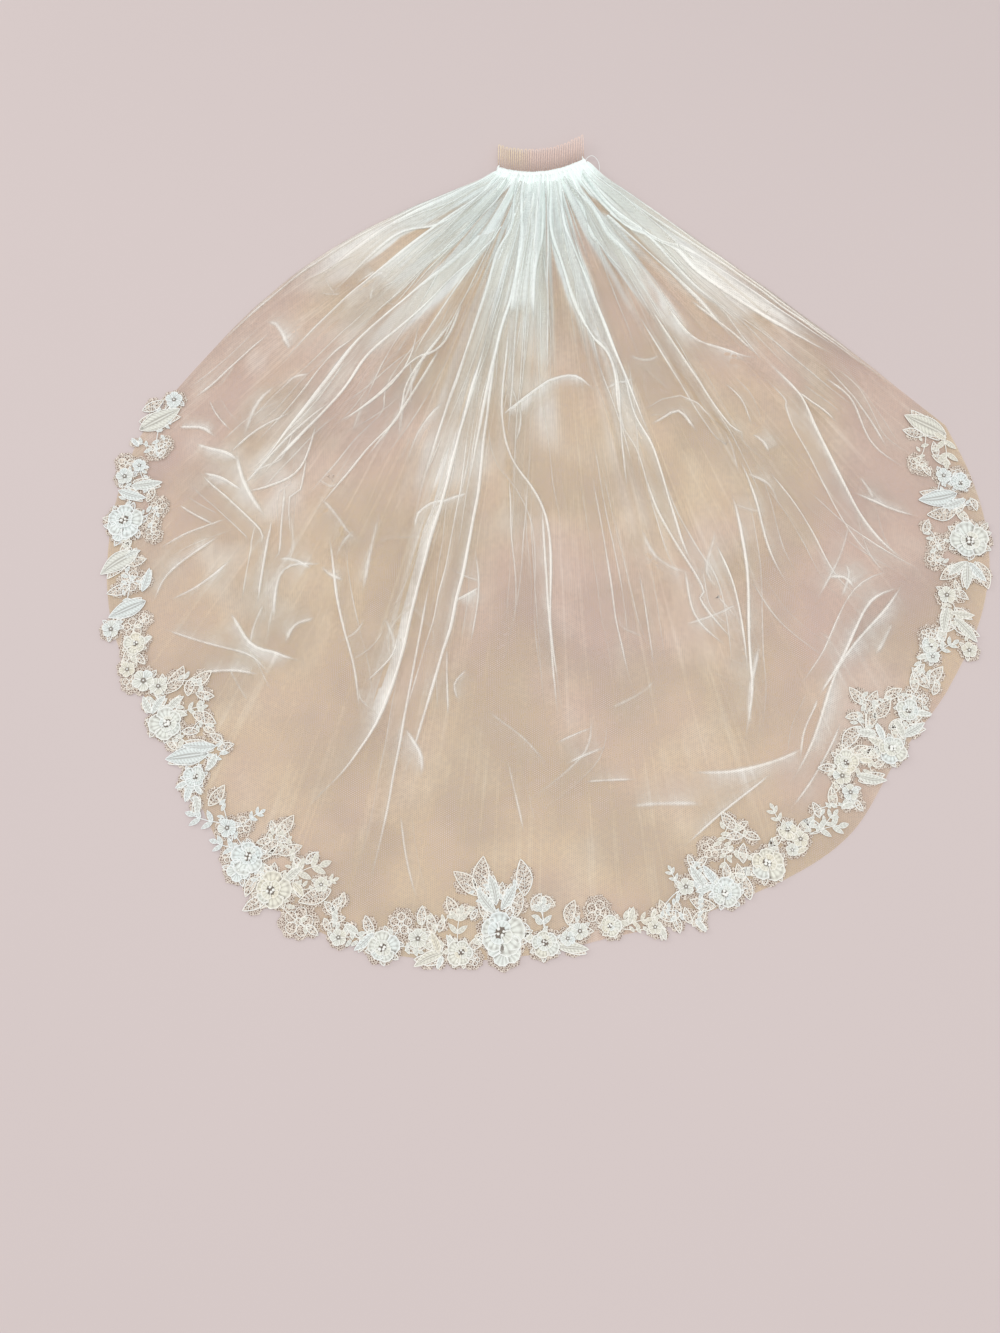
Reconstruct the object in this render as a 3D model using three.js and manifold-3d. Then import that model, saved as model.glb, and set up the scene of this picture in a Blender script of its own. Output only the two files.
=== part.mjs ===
// Fingertip bridal veil laid flat: a gathered net panel on a wire hair comb, edged with flower lace.
// Millimetres, +Z up. +Y points from the hem to the comb, +X to the right as seen from above.
import * as THREE from 'three';
import { mergeVertices } from 'three/addons/utils/BufferGeometryUtils.js';
import Module from 'manifold-3d';

const wasm = await Module();
wasm.setup();

// Driving sizes
const COMB_WIDTH = 105;
const COMB_TURN = 6.5;
const COMB_BOW = 12;
const COMB_MIDDLE = { x: 0.4, y: 480.3 };
const TOOTH_COUNT = 24;
const TOOTH_REACH = 36;
const TOOTH_LOOP = 2.3;
const WIRE_RADIUS = 0.5;
const SPINE_RADIUS = 0.9;
const SPINE_HEIGHT = 4.6;
const BAND_DEPTH = 8;
const BAND_HEIGHT = 8.6;
const BAND_CORNER = 2;
const BAND_POCKET = 3;
const BAND_STEPS = 14;
const BAND_OVERHANG = 1.03;
const SPINE_INSET = 1.9;
const TOOTH_ARCH = 2.6;
const TIP_HEIGHT = 4;
const TIP_LIFT = 4;
const LIFT_FROM = 0.1;
const NET_WALL = 1.2;
const FLAT_BELOW = 0.15;
const SEAM_GAP = 0.3;
const LACE_THICKNESS = 1.3;
const PETAL_RISE = 1.2;
const BEAD_RISE = 1.1;
const HEM_INSET = 4;
const PANEL_COLUMNS = 92;
const PANEL_ROWS = 16;
const GATHER_COUNT = 21;
const GATHER_HEIGHT = 4.2;
const GATHER_REACH = 0.34;

// Colours
const NET_COLOUR = 0xf4efe4;
const BAND_COLOUR = 0xf3fbf6;
const LACE_COLOURS = { mint: 0xf1f8f1, ivory: 0xf7f3e4, cream: 0xf3ecd0 };
const METAL_COLOUR = 0xcaa58b;

// Outline of the hem round the middle of the lay. Turn is in degrees from straight down,
// positive to the right, and reach is the distance from the middle.
const HEM = [
  { turn: -113, reach: 460 }, { turn: -106, reach: 471 }, { turn: -93, reach: 475 },
  { turn: -79, reach: 471 }, { turn: -66, reach: 450 }, { turn: -57, reach: 443 },
  { turn: -49, reach: 457 }, { turn: -40, reach: 471 }, { turn: -25, reach: 462 },
  { turn: -13, reach: 445 }, { turn: 0, reach: 426 }, { turn: 10, reach: 416 },
  { turn: 27, reach: 421 }, { turn: 44, reach: 436 }, { turn: 57, reach: 430 },
  { turn: 69, reach: 450 }, { turn: 84, reach: 477 }, { turn: 92, reach: 483 },
  { turn: 100, reach: 480 }, { turn: 108, reach: 474 },
];

// How far the two free edges bulge past a straight line from the comb to the corner of the hem.
const EDGE_BULGES = { left: 42, right: -8, spread: 0.06 };

// The largest folds. From and to are places across the panel, 0 at the left free edge and 1 at
// the right one. Start and end are shares of the way from the comb to the hem.
const FOLDS = [
  { from: 0.118, to: 0.040, start: 0.00, end: 0.84, height: 6.5, width: 0.012 },
  { from: 0.122, to: 0.095, start: 0.05, end: 0.58, height: 5.0, width: 0.010 },
  { from: 0.212, to: 0.095, start: 0.02, end: 0.74, height: 6.5, width: 0.011 },
  { from: 0.232, to: 0.158, start: 0.16, end: 0.70, height: 5.5, width: 0.011 },
  { from: 0.228, to: 0.160, start: 0.00, end: 0.28, height: 7.0, width: 0.020 },
  { from: 0.270, to: 0.243, start: 0.06, end: 0.42, height: 5.0, width: 0.012 },
  { from: 0.300, to: 0.196, start: 0.18, end: 0.58, height: 4.5, width: 0.010 },
  { from: 0.290, to: 0.236, start: 0.26, end: 0.68, height: 4.5, width: 0.011 },
  { from: 0.135, to: 0.165, start: 0.42, end: 0.64, height: 3.5, width: 0.010 },
  { from: 0.295, to: 0.352, start: 0.00, end: 0.64, height: 7.5, width: 0.012 },
  { from: 0.370, to: 0.376, start: 0.10, end: 0.93, height: 8.5, width: 0.011 },
  { from: 0.392, to: 0.402, start: 0.40, end: 0.97, height: 5.5, width: 0.010 },
  { from: 0.400, to: 0.415, start: 0.10, end: 0.86, height: 6.0, width: 0.011 },
  { from: 0.272, to: 0.360, start: 0.58, end: 0.80, height: 3.5, width: 0.010 },
  { from: 0.462, to: 0.474, start: 0.00, end: 0.24, height: 8.0, width: 0.022 },
  { from: 0.525, to: 0.517, start: 0.00, end: 0.32, height: 7.0, width: 0.012 },
  { from: 0.412, to: 0.532, start: 0.18, end: 0.80, height: 6.5, width: 0.011 },
  { from: 0.600, to: 0.640, start: 0.00, end: 0.74, height: 7.0, width: 0.012 },
  { from: 0.625, to: 0.684, start: 0.06, end: 0.70, height: 6.0, width: 0.011 },
  { from: 0.708, to: 0.676, start: 0.56, end: 0.86, height: 4.5, width: 0.010 },
  { from: 0.698, to: 0.782, start: 0.00, end: 0.32, height: 7.5, width: 0.014 },
  { from: 0.722, to: 0.800, start: 0.10, end: 0.60, height: 6.0, width: 0.011 },
  { from: 0.800, to: 0.905, start: 0.08, end: 0.72, height: 6.0, width: 0.012 },
  { from: 0.830, to: 0.920, start: 0.06, end: 0.48, height: 6.0, width: 0.011 },
  { from: 0.950, to: 0.922, start: 0.56, end: 0.82, height: 3.5, width: 0.010 },
  { from: 0.935, to: 0.986, start: 0.00, end: 0.90, height: 8.0, width: 0.013 },
  { from: 0.800, to: 0.720, start: 0.82, end: 0.92, height: 3.5, width: 0.016 },
  { from: 0.480, to: 0.496, start: 0.74, end: 0.90, height: 3.0, width: 0.010 },
];

// The lace motifs, one row for each piece of embroidery sewn along the hem. x and y place the
// flower, and everything else is measured from it.
// leaves and nets: [x, y, direction of the tip in degrees, length]
// blooms and netBlooms: [x, y, radius]
// sprigs: [x, y, direction, length] with x and y at the root
const MOTIFS = [
  { x: -427, y: 152, tone: 'mint', flower: 0, turn: 0,
    leaves: [[0, 0, 31, 50], [-25, -28, 130, 13]],
    nets: [[-9, 17, 30, 26], [6, -42, 240, 12]],
    blooms: [[14, 24, 9]], netBlooms: [[-2, -38, 8], [8, -30, 7]], sprigs: [] },
  { x: -454, y: 29, tone: 'mint', flower: 19, turn: 12,
    leaves: [[19, 45, 8, 34], [4, 33, -16, 32]],
    nets: [[-19, 3, 165, 14], [24, 32, 250, 18]],
    blooms: [[-6, 54, 9], [9, 67, 7], [-4, -10, 12]],
    netBlooms: [[-6, 70, 9], [34, 18, 9], [29, 0, 7], [30, -13, 8]], sprigs: [] },
  { x: -455, y: -18, tone: 'mint', flower: 0, turn: 0,
    leaves: [[-2, 0, 214, 46], [10, 9, 30, 22], [28, -19, 78, 27], [11, -52, 206, 42]],
    nets: [[15, 3, 10, 24], [0, -30, 200, 26]],
    blooms: [[-4, -74, 9]], netBlooms: [[12, -20, 12]], sprigs: [] },
  { x: -433, y: -108, tone: 'cream', flower: 11, turn: 30,
    leaves: [[12, 4, 30, 14]], nets: [[-7, -12, 250, 20], [8, -16, 310, 16]],
    blooms: [[-5, -28, 8]], netBlooms: [[-3, 18, 11], [8, 28, 6]], sprigs: [] },
  { x: -394, y: -194, tone: 'ivory', flower: 16, turn: 40,
    leaves: [[-8, 20, 58, 23], [9, 21, 45, 23], [14, 11, -12, 17], [-20, 20, 118, 20]],
    nets: [[6, 47, 60, 34], [34, 49, 38, 26], [39, 31, -10, 20], [24, 40, 75, 22],
      [40, 6, -25, 28], [27, -8, 0, 18], [46, -7, -25, 14], [9, -23, -40, 15]],
    blooms: [[-26, 46, 11], [-10, 40, 9]], netBlooms: [[-39, 45, 9]],
    sprigs: [[16, 12, 15, 26]] },
  { x: -360, y: -249, tone: 'mint', flower: 11, turn: 10,
    leaves: [[3, 32, 178, 34], [-9, 21, 188, 44], [16, 15, 240, 20], [-5, -17, 256, 18],
      [5, -13, 305, 13], [-12, -9, 205, 14], [4, -29, 280, 20]],
    nets: [[30, 31, 18, 18], [20, 40, 150, 16]], blooms: [], netBlooms: [], sprigs: [] },
  { x: -301, y: -332, tone: 'mint', flower: 16, turn: 25,
    leaves: [], nets: [[-35, 64, 55, 26], [21, 10, 50, 28], [18, -14, 40, 22], [5, -27, 245, 22]],
    blooms: [[-22, 31, 9], [-8, -11, 11]], netBlooms: [[-6, 34, 9], [-18, 3, 7]],
    sprigs: [[-26, 36, 165, 38], [-6, 10, 165, 32], [-4, 36, 35, 22]] },
  { x: -273, y: -362, tone: 'cream', flower: 17, turn: 5,
    leaves: [[18, 15, 40, 24], [24, 0, 310, 18]],
    nets: [[8, 64, 50, 26], [-4, 62, 110, 14], [-12, 48, 190, 16], [6, 50, 340, 15],
      [15, 39, 20, 24], [0, 39, 205, 18], [23, 27, 130, 15], [37, 31, 45, 17],
      [41, -6, 200, 34], [-18, -15, 205, 26], [-2, 18, 80, 18], [40, -39, 320, 16]],
    blooms: [[47, 5, 7]], netBlooms: [[26, -31, 15]],
    sprigs: [[12, 10, 22, 44], [44, 4, 20, 20]] },
  { x: -162, y: -416, tone: 'ivory', flower: 15, turn: 15,
    leaves: [[-33, 16, 150, 17], [-20, 4, 222, 25]],
    nets: [[-55, 36, 130, 17], [-48, 39, 62, 18], [-42, 44, 82, 15], [-46, 25, 15, 15],
      [-56, 20, 300, 15], [-15, 20, 115, 20]],
    blooms: [[-45, 8, 8]], netBlooms: [[16, 21, 11]], sprigs: [[14, 0, -15, 24]] },
  { x: -88, y: -423, tone: 'cream', flower: 12, turn: 0,
    leaves: [[-24, 10, 112, 23], [-9, 10, 120, 17], [-30, -6, 205, 32], [-19, -9, 250, 13]],
    nets: [[-37, 36, 90, 19], [-27, 28, 100, 21], [-18, 27, 70, 15], [-8, 44, 115, 23],
      [5, 40, 40, 16], [14, 37, 60, 12]],
    blooms: [[-41, 14, 9]], netBlooms: [[14, -6, 6]], sprigs: [[-2, 8, 84, 36]] },
  { x: -45, y: -404, tone: 'mint', flower: 21, turn: 18,
    leaves: [[-17, 31, 128, 31], [-11, 42, 104, 31], [5, 35, 60, 29]],
    nets: [[-38, 48, 135, 33], [-22, 56, 84, 38], [19, 54, 96, 36], [-1, 42, 90, 15],
      [15, 28, 75, 26], [-21, 22, 112, 18]],
    blooms: [[1, -15, 16]], netBlooms: [], sprigs: [] },
  { x: -4, y: -415, tone: 'ivory', flower: 13, turn: 30,
    leaves: [[27, -3, -5, 31]], nets: [[-8, 41, 60, 19], [2, 41, -25, 18], [26, 31, 74, 25]],
    blooms: [[34, 13, 8], [22, 6, 7]], netBlooms: [], sprigs: [[0, 10, 92, 34]] },
  { x: 61, y: -397, tone: 'cream', flower: 10, turn: 0,
    leaves: [[20, 10, 74, 17], [50, -7, 295, 15], [42, 12, 60, 10]],
    nets: [], blooms: [[43, -1, 7]], netBlooms: [[-13, 13, 12]], sprigs: [[14, 0, 15, 26]] },
  { x: 176, y: -365, tone: 'mint', flower: 14, turn: 8,
    leaves: [[-28, 16, 122, 26], [-15, 17, 125, 24], [-22, 4, 200, 18], [-26, -32, 305, 14]],
    nets: [[-64, -16, 105, 19], [-51, -17, 80, 20], [-50, -31, 285, 17], [-59, -25, 170, 17],
      [-39, -22, 110, 17], [-28, -24, 50, 22], [-34, 31, 110, 14], [-22, 30, 50, 15],
      [-24, -10, 165, 26], [21, 5, 100, 24]],
    blooms: [[-40, 6, 8], [-7, 4, 9]], netBlooms: [], sprigs: [[-46, 8, 120, 20]] },
  { x: 219, y: -338, tone: 'cream', flower: 16, turn: 20,
    leaves: [], nets: [[-36, 44, 130, 24], [-23, 39, 40, 14], [-32, 28, 185, 18],
      [-15, 28, -15, 18], [-40, 15, 20, 14], [-24, 12, 85, 20], [-43, -6, 90, 18],
      [-29, -8, 100, 20]],
    blooms: [], netBlooms: [[-56, 16, 10]], sprigs: [] },
  { x: 241, y: -304, tone: 'cream', flower: 9, turn: 0,
    leaves: [[12, -19, 20, 14]], nets: [], blooms: [[12, -8, 8], [3, -19, 6]],
    netBlooms: [], sprigs: [[-4, 5, 118, 24]] },
  { x: 283, y: -299, tone: 'ivory', flower: 0, turn: 0,
    leaves: [[20, 20, 200, 14]], nets: [[-12, 16, 110, 17], [32, 21, 300, 14]],
    blooms: [[24, 34, 8]], netBlooms: [], sprigs: [[-20, -8, 14, 38], [-8, -5, 50, 26]] },
  { x: 306, y: -233, tone: 'cream', flower: 12, turn: 10,
    leaves: [[24, -17, -10, 31], [20, 1, -8, 14]],
    nets: [[-21, -6, 185, 18], [-10, 6, 150, 12], [14, 12, 20, 20], [33, -2, 20, 14]],
    blooms: [[-6, -15, 9]], netBlooms: [[0, 13, 6]], sprigs: [] },
  { x: 353, y: -222, tone: 'ivory', flower: 14, turn: 35,
    leaves: [[-14, 10, 160, 20], [-10, 20, 108, 18], [-24, 18, 170, 20]],
    nets: [[-40, 13, 230, 32], [-30, 58, 132, 24], [-16, 52, 60, 26], [7, 60, 30, 22],
      [-37, 36, 190, 16], [-6, 44, 45, 28], [-20, 34, 250, 26], [-19, -5, 190, 14]],
    blooms: [], netBlooms: [], sprigs: [] },
  { x: 373, y: -179, tone: 'ivory', flower: 11, turn: 0,
    leaves: [[-9, -21, 110, 23], [4, -21, 30, 29], [17, -4, -5, 16]],
    nets: [[8, -11, 30, 16], [-5, 12, 120, 14]], blooms: [],
    netBlooms: [[7, 16, 7], [17, 11, 6]], sprigs: [] },
  { x: 403, y: -110, tone: 'ivory', flower: 8, turn: 0,
    leaves: [[-9, -12, 190, 12]],
    nets: [[-13, -35, 125, 27], [4, -32, 50, 24], [1, -46, 70, 16], [11, 3, -20, 14]],
    blooms: [[2, -12, 7]], netBlooms: [[-1, 12, 7], [9, 13, 7]], sprigs: [[6, -10, 32, 28]] },
  { x: 440, y: -81, tone: 'cream', flower: 0, turn: 0,
    leaves: [[-17, -1, 256, 29], [2, 6, -8, 24], [3, -12, 308, 34]],
    nets: [[1, 27, -30, 20], [-2, 38, 95, 12]], blooms: [[4, -34, 8], [-13, 27, 9]],
    netBlooms: [], sprigs: [] },
  { x: 458, y: 10, tone: 'ivory', flower: 20, turn: 28,
    leaves: [[-16, -34, 216, 26], [-7, -42, 262, 32], [5, -38, 305, 26]],
    nets: [[-24, -38, 215, 30], [10, -42, 285, 32], [-45, 14, 70, 18], [17, 14, 40, 14]],
    blooms: [], netBlooms: [[-35, -6, 9], [-40, -24, 8]], sprigs: [] },
  { x: 455, y: 76, tone: 'mint', flower: 10, turn: 0,
    leaves: [[-26, -17, 190, 43], [-9, -25, 200, 28]], nets: [[-23, -35, 190, 34], [12, -26, 290, 16]],
    blooms: [[-17, 8, 8]], netBlooms: [[-2, 9, 7]], sprigs: [] },
  { x: 424, y: 145, tone: 'cream', flower: 0, turn: 0,
    leaves: [[0, 0, 151, 50], [14, -12, 140, 18]], nets: [[-14, -9, 165, 24], [-4, -55, 300, 15]],
    blooms: [], netBlooms: [[-13, -47, 9]], sprigs: [[17, -6, 272, 44]] },
];

// Shapes of the motifs, as shares of their length or radius
const LEAF_WIDTH = 0.36;
const SMALL_LEAF = 16;
const STEM_WIDTH = 1.9;
const BEAD_SHARE = 0.2;
const STEM_FREE_OVERLAP = 0.75;
const SPRIG_PAIRS = 2;
const OUTLINE_TOLERANCE = 1.2;
const TRIM_TOLERANCE = 0.35;
const WIRE_TOLERANCE = 0.05;
const RAISED_BLOOM = 9;
const LEAFLET_SHARE = 0.36;
const LEAFLET_LEAN = 48;
const FLAT_ROUND_LACE = 24;
const FULL_FOLDS_FROM_LACE = 66;

const radians = (degrees) => degrees * Math.PI / 180;
const mix = (a, b, share) => a + (b - a) * share;

function smoothStep(low, high, value) {
  const share = Math.min(1, Math.max(0, (value - low) / (high - low)));
  return share * share * (3 - 2 * share);
}

// Smooth value between the rows of a table, by a cubic through the four nearest rows
function tableValue(rows, key, valueKey, at) {
  let row = rows.findIndex((item) => item[key] > at) - 1;
  if (row < 0) row = at <= rows[0][key] ? 0 : rows.length - 2;
  const pick = (index) => rows[Math.min(rows.length - 1, Math.max(0, index))][valueKey];
  const share = Math.min(1, (at - rows[row][key]) / (rows[row + 1][key] - rows[row][key]));
  const [before, first, second, after] = [pick(row - 1), pick(row), pick(row + 1), pick(row + 2)];
  const bend = (second - before) / 2;
  const nextBend = (after - first) / 2;
  const drop = first - second;
  return first + bend * share
    + (-3 * drop - 2 * bend - nextBend) * share ** 2
    + (2 * drop + bend + nextBend) * share ** 3;
}

// The comb's spine is bowed towards the veil. Along runs from -1 at its left end to 1, and out is
// the distance beyond the spine on the side of the teeth.
function besideSpine(along, out) {
  const turn = radians(COMB_TURN);
  const lean = Math.atan(4 * COMB_BOW * along / COMB_WIDTH);
  const x = along * COMB_WIDTH / 2 - out * Math.sin(lean);
  const y = out * Math.cos(lean) - COMB_BOW * (1 - along ** 2);
  return {
    x: COMB_MIDDLE.x + x * Math.cos(turn) - y * Math.sin(turn),
    y: COMB_MIDDLE.y + x * Math.sin(turn) + y * Math.cos(turn),
  };
}

function hemPoint(across) {
  const turn = mix(HEM[0].turn, HEM[HEM.length - 1].turn, across);
  const reach = tableValue(HEM, 'turn', 'reach', turn) - HEM_INSET;
  return { x: reach * Math.sin(radians(turn)), y: -reach * Math.cos(radians(turn)) };
}

// A point of the panel seen from above: across it, and down from the comb to the hem
function panelPoint(across, down) {
  const top = besideSpine(2 * across - 1, -BAND_DEPTH / 2 - SEAM_GAP);
  const hem = hemPoint(across);
  const run = { x: hem.x - top.x, y: hem.y - top.y };
  const length = Math.hypot(run.x, run.y);
  const bulge = EDGE_BULGES.left * Math.exp(-across / EDGE_BULGES.spread)
    + EDGE_BULGES.right * Math.exp(-(1 - across) / EDGE_BULGES.spread);
  const aside = bulge * Math.sin(Math.PI * down) / length;
  return { x: top.x + run.x * down + run.y * aside, y: top.y + run.y * down - run.x * aside };
}

const laceSpots = MOTIFS.flatMap((motif) => [
  { x: motif.x, y: motif.y, radius: motif.flower },
  ...motif.leaves.concat(motif.nets).map(([x, y, , length]) => (
    { x: motif.x + x, y: motif.y + y, radius: length / 2 })),
  ...motif.blooms.concat(motif.netBlooms).map(([x, y, radius]) => (
    { x: motif.x + x, y: motif.y + y, radius })),
  ...motif.sprigs.map(([x, y, direction, length]) => ({
    x: motif.x + x + Math.cos(radians(direction)) * length / 2,
    y: motif.y + y + Math.sin(radians(direction)) * length / 2,
    radius: length / 2 })),
]);

// The net lies flat under the lace and is free to fold away from it
function freedomToFold(point) {
  const clear = Math.min(...laceSpots.map((spot) => (
    Math.hypot(point.x - spot.x, point.y - spot.y) - spot.radius)));
  return smoothStep(FLAT_ROUND_LACE, FULL_FOLDS_FROM_LACE, clear);
}

function foldHeight(across, down) {
  const beat = (1 + Math.cos(2 * Math.PI * GATHER_COUNT * across)) / 2;
  const uneven = 1 + 0.3 * Math.sin(17 * across) * Math.cos(41 * across);
  let height = GATHER_HEIGHT * beat * uneven * (1 - smoothStep(0, GATHER_REACH, down));
  for (const fold of FOLDS) {
    const share = (down - fold.start) / (fold.end - fold.start);
    const middle = mix(fold.from, fold.to, Math.min(1, Math.max(0, share)));
    const ends = smoothStep(-0.06, 0.14, share) * (1 - smoothStep(0.72, 1.06, share));
    height += fold.height * ends * Math.exp(-(((across - middle) / fold.width) ** 2));
  }
  return height;
}

function solidMesh(name, positions, faces, material) {
  const geometry = new THREE.BufferGeometry();
  geometry.setAttribute('position', new THREE.Float32BufferAttribute(positions, 3));
  geometry.setIndex(faces);
  geometry.computeVertexNormals();
  const mesh = new THREE.Mesh(geometry, material);
  mesh.name = name;
  return mesh;
}

const clothMaterial = (color) => new THREE.MeshStandardMaterial({ color, roughness: 0.85, metalness: 0 });

// The net panel is a wall between its upper side and an underside that rests flat
function netPanel() {
  const rows = [];
  for (let row = 0; row <= PANEL_ROWS; row += 1) {
    for (let column = 0; column <= PANEL_COLUMNS; column += 1) {
      const across = column / PANEL_COLUMNS;
      const down = row / PANEL_ROWS;
      const point = panelPoint(across, down);
      point.top = NET_WALL + foldHeight(across, down) * freedomToFold(point);
      rows.push(point);
    }
  }
  const at = (column, row) => row * (PANEL_COLUMNS + 1) + column;
  const steepness = (column, row) => {
    const west = rows[at(Math.max(0, column - 1), row)];
    const east = rows[at(Math.min(PANEL_COLUMNS, column + 1), row)];
    return Math.abs(east.top - west.top) / Math.hypot(east.x - west.x, east.y - west.y);
  };
  rows.forEach((point, index) => {
    const column = index % (PANEL_COLUMNS + 1);
    const row = Math.floor(index / (PANEL_COLUMNS + 1));
    const wall = NET_WALL * Math.hypot(1, steepness(column, row));
    point.under = Math.max(0, point.top - wall);
    if (point.top < NET_WALL + FLAT_BELOW) point.under = 0;
  });
  const positions = [
    ...rows.flatMap((point) => [point.x, point.y, point.top]),
    ...rows.flatMap((point) => [point.x, point.y, point.under]),
  ];
  const below = rows.length;
  const faces = [];
  const wallBetween = (a, b) => faces.push(a, a + below, b, b, a + below, b + below);
  for (let row = 0; row < PANEL_ROWS; row += 1) {
    for (let column = 0; column < PANEL_COLUMNS; column += 1) {
      const [a, b] = [at(column, row), at(column + 1, row)];
      const [c, d] = [at(column, row + 1), at(column + 1, row + 1)];
      faces.push(a, c, b, b, c, d);
      faces.push(a + below, b + below, c + below, b + below, d + below, c + below);
    }
  }
  for (let column = 0; column < PANEL_COLUMNS; column += 1) {
    wallBetween(at(column + 1, 0), at(column, 0));
    wallBetween(at(column, PANEL_ROWS), at(column + 1, PANEL_ROWS));
  }
  for (let row = 0; row < PANEL_ROWS; row += 1) {
    wallBetween(at(0, row), at(0, row + 1));
    wallBetween(at(PANEL_COLUMNS, row + 1), at(PANEL_COLUMNS, row));
  }
  return solidMesh('net_panel', positions, faces, clothMaterial(NET_COLOUR));
}

// A closed sweep of a flat section, given in side and height, through stations with a side direction
function sweep(stations, section) {
  const positions = [];
  const faces = [];
  const count = section.length;
  for (const { centre, side, up } of stations) {
    for (const corner of section) {
      const point = centre.clone().addScaledVector(side, corner.x).addScaledVector(up, corner.y);
      positions.push(point.x, point.y, point.z);
    }
  }
  for (let station = 0; station < stations.length - 1; station += 1) {
    for (let corner = 0; corner < count; corner += 1) {
      const next = (corner + 1) % count;
      const [a, b] = [station * count + corner, station * count + next];
      faces.push(a, b, a + count, b, b + count, a + count);
    }
  }
  const last = (stations.length - 1) * count;
  for (const [a, b, c] of THREE.ShapeUtils.triangulateShape(section, [])) {
    faces.push(a, c, b, last + a, last + b, last + c);
  }
  return { positions, faces };
}

function spineStation(along, out, height) {
  const here = besideSpine(along, out);
  const ahead = besideSpine(along + 0.01, out);
  const before = besideSpine(along - 0.01, out);
  const forward = new THREE.Vector3(ahead.x - before.x, ahead.y - before.y, 0).normalize();
  const up = new THREE.Vector3(0, 0, 1);
  return { centre: new THREE.Vector3(here.x, here.y, height), side: up.clone().cross(forward), up };
}

// The sewn band is bound round the gathers and the spine, and open towards the teeth
function sewnBand() {
  const half = BAND_DEPTH / 2;
  const slot = SPINE_RADIUS + SEAM_GAP;
  const middle = SPINE_HEIGHT;
  const shoulder = BAND_HEIGHT - BAND_CORNER;
  const crown = BAND_HEIGHT - BAND_CORNER / 6;
  const section = [
    [half, middle - slot], [half, BAND_CORNER / 2], [half - BAND_CORNER / 2, 0],
    [BAND_CORNER / 2 - half, 0], [-half, BAND_CORNER / 2], [-half, shoulder],
    [BAND_CORNER - half, crown], [0, BAND_HEIGHT], [half - BAND_CORNER, crown], [half, shoulder],
    [half, middle + slot], [half - BAND_POCKET, middle + slot], [half - BAND_POCKET, middle - slot],
  ].map(([side, height]) => new THREE.Vector2(side, height)).reverse();
  const stations = [];
  for (let step = 0; step <= BAND_STEPS; step += 1) {
    stations.push(spineStation(mix(-BAND_OVERHANG, BAND_OVERHANG, step / BAND_STEPS), 0, 0));
  }
  const { positions, faces } = sweep(stations, section);
  return solidMesh('sewn_band', positions, faces, clothMaterial(BAND_COLOUR));
}

function toSolid({ positions, faces }) {
  const geometry = new THREE.BufferGeometry();
  geometry.setAttribute('position', new THREE.Float32BufferAttribute(positions, 3));
  geometry.setIndex(faces);
  const merged = mergeVertices(geometry, 1e-4);
  const solid = new wasm.Manifold(new wasm.Mesh({
    numProp: 3,
    vertProperties: new Float32Array(merged.attributes.position.array),
    triVerts: new Uint32Array(merged.index.array),
  }));
  return solid;
}

function joinAll(solids) {
  return solids.reduce((whole, solid) => whole.add(solid));
}

function fromSolid(name, solid, material) {
  const mesh = solid.getMesh();
  return solidMesh(name, Array.from(mesh.vertProperties), Array.from(mesh.triVerts), material);
}

function ringSection(radius, sides) {
  const corners = [];
  for (let side = 0; side < sides; side += 1) {
    const angle = 2 * Math.PI * side / sides;
    corners.push(new THREE.Vector2(radius * Math.cos(angle), radius * Math.sin(angle)));
  }
  return corners;
}

// A round wire through points, its sections kept upright
function wire(points, radius, sides) {
  const stations = points.map((centre, index) => {
    const ahead = points[Math.min(points.length - 1, index + 1)];
    const before = points[Math.max(0, index - 1)];
    const forward = ahead.clone().sub(before).normalize();
    const side = new THREE.Vector3(0, 0, 1).cross(forward).normalize();
    return { centre, side, up: forward.clone().cross(side) };
  });
  return toSolid(sweep(stations, ringSection(radius, sides)));
}

// Height of a tooth above the surface, at its distance from the spine. The right end is lifted.
function toothHeight(along, out) {
  const share = out / TOOTH_REACH;
  const tip = TIP_HEIGHT + TIP_LIFT * smoothStep(LIFT_FROM, 1, along);
  return SPINE_HEIGHT + TOOTH_ARCH * Math.sin(Math.PI * share) + (tip - SPINE_HEIGHT) * share ** 2;
}

// Hairpin loops of wire on a bowed spine, all pointing the same way
function hairComb() {
  const spine = [];
  for (let step = 0; step <= 12; step += 1) {
    const here = besideSpine(mix(-0.99, 0.99, step / 12), BAND_DEPTH / 2 - SPINE_INSET);
    spine.push(new THREE.Vector3(here.x, here.y, SPINE_HEIGHT));
  }
  const pieces = [wire(spine, SPINE_RADIUS, 6)];
  const root = BAND_DEPTH / 2 - SPINE_INSET;
  const straight = [0, 0.33, 0.67, 1].map((share) => share * (TOOTH_REACH - TOOTH_LOOP / 2));
  for (let tooth = 0; tooth < TOOTH_COUNT; tooth += 1) {
    const along = mix(-0.965, 0.965, tooth / (TOOTH_COUNT - 1));
    const aside = TOOTH_LOOP / COMB_WIDTH;
    const place = (sideways, out) => {
      const foot = besideSpine(along + sideways * aside, root);
      return new THREE.Vector3(foot.x, foot.y + out, toothHeight(along, out));
    };
    const out = straight.map((distance) => place(-1, distance));
    const tip = place(0, TOOTH_REACH);
    const back = straight.map((distance) => place(1, distance)).reverse();
    pieces.push(wire([...out, tip, ...back], WIRE_RADIUS, 4));
  }
  const metal = new THREE.MeshStandardMaterial({ color: METAL_COLOUR, roughness: 0.3, metalness: 1 });
  return fromSolid('hair_comb', joinAll(pieces).asOriginal().simplify(WIRE_TOLERANCE), metal);
}

// A flat prism of an outline, from one height to another
function prism(outline, low, high) {
  const shape = new THREE.Shape(outline);
  const geometry = new THREE.ExtrudeGeometry(shape, { depth: high - low, bevelEnabled: false });
  geometry.translate(0, 0, low);
  geometry.deleteAttribute('normal');
  geometry.deleteAttribute('uv');
  const merged = mergeVertices(geometry, 1e-4);
  const faces = Array.from(merged.index.array);
  return toSolid({ positions: Array.from(merged.attributes.position.array), faces });
}

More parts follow.
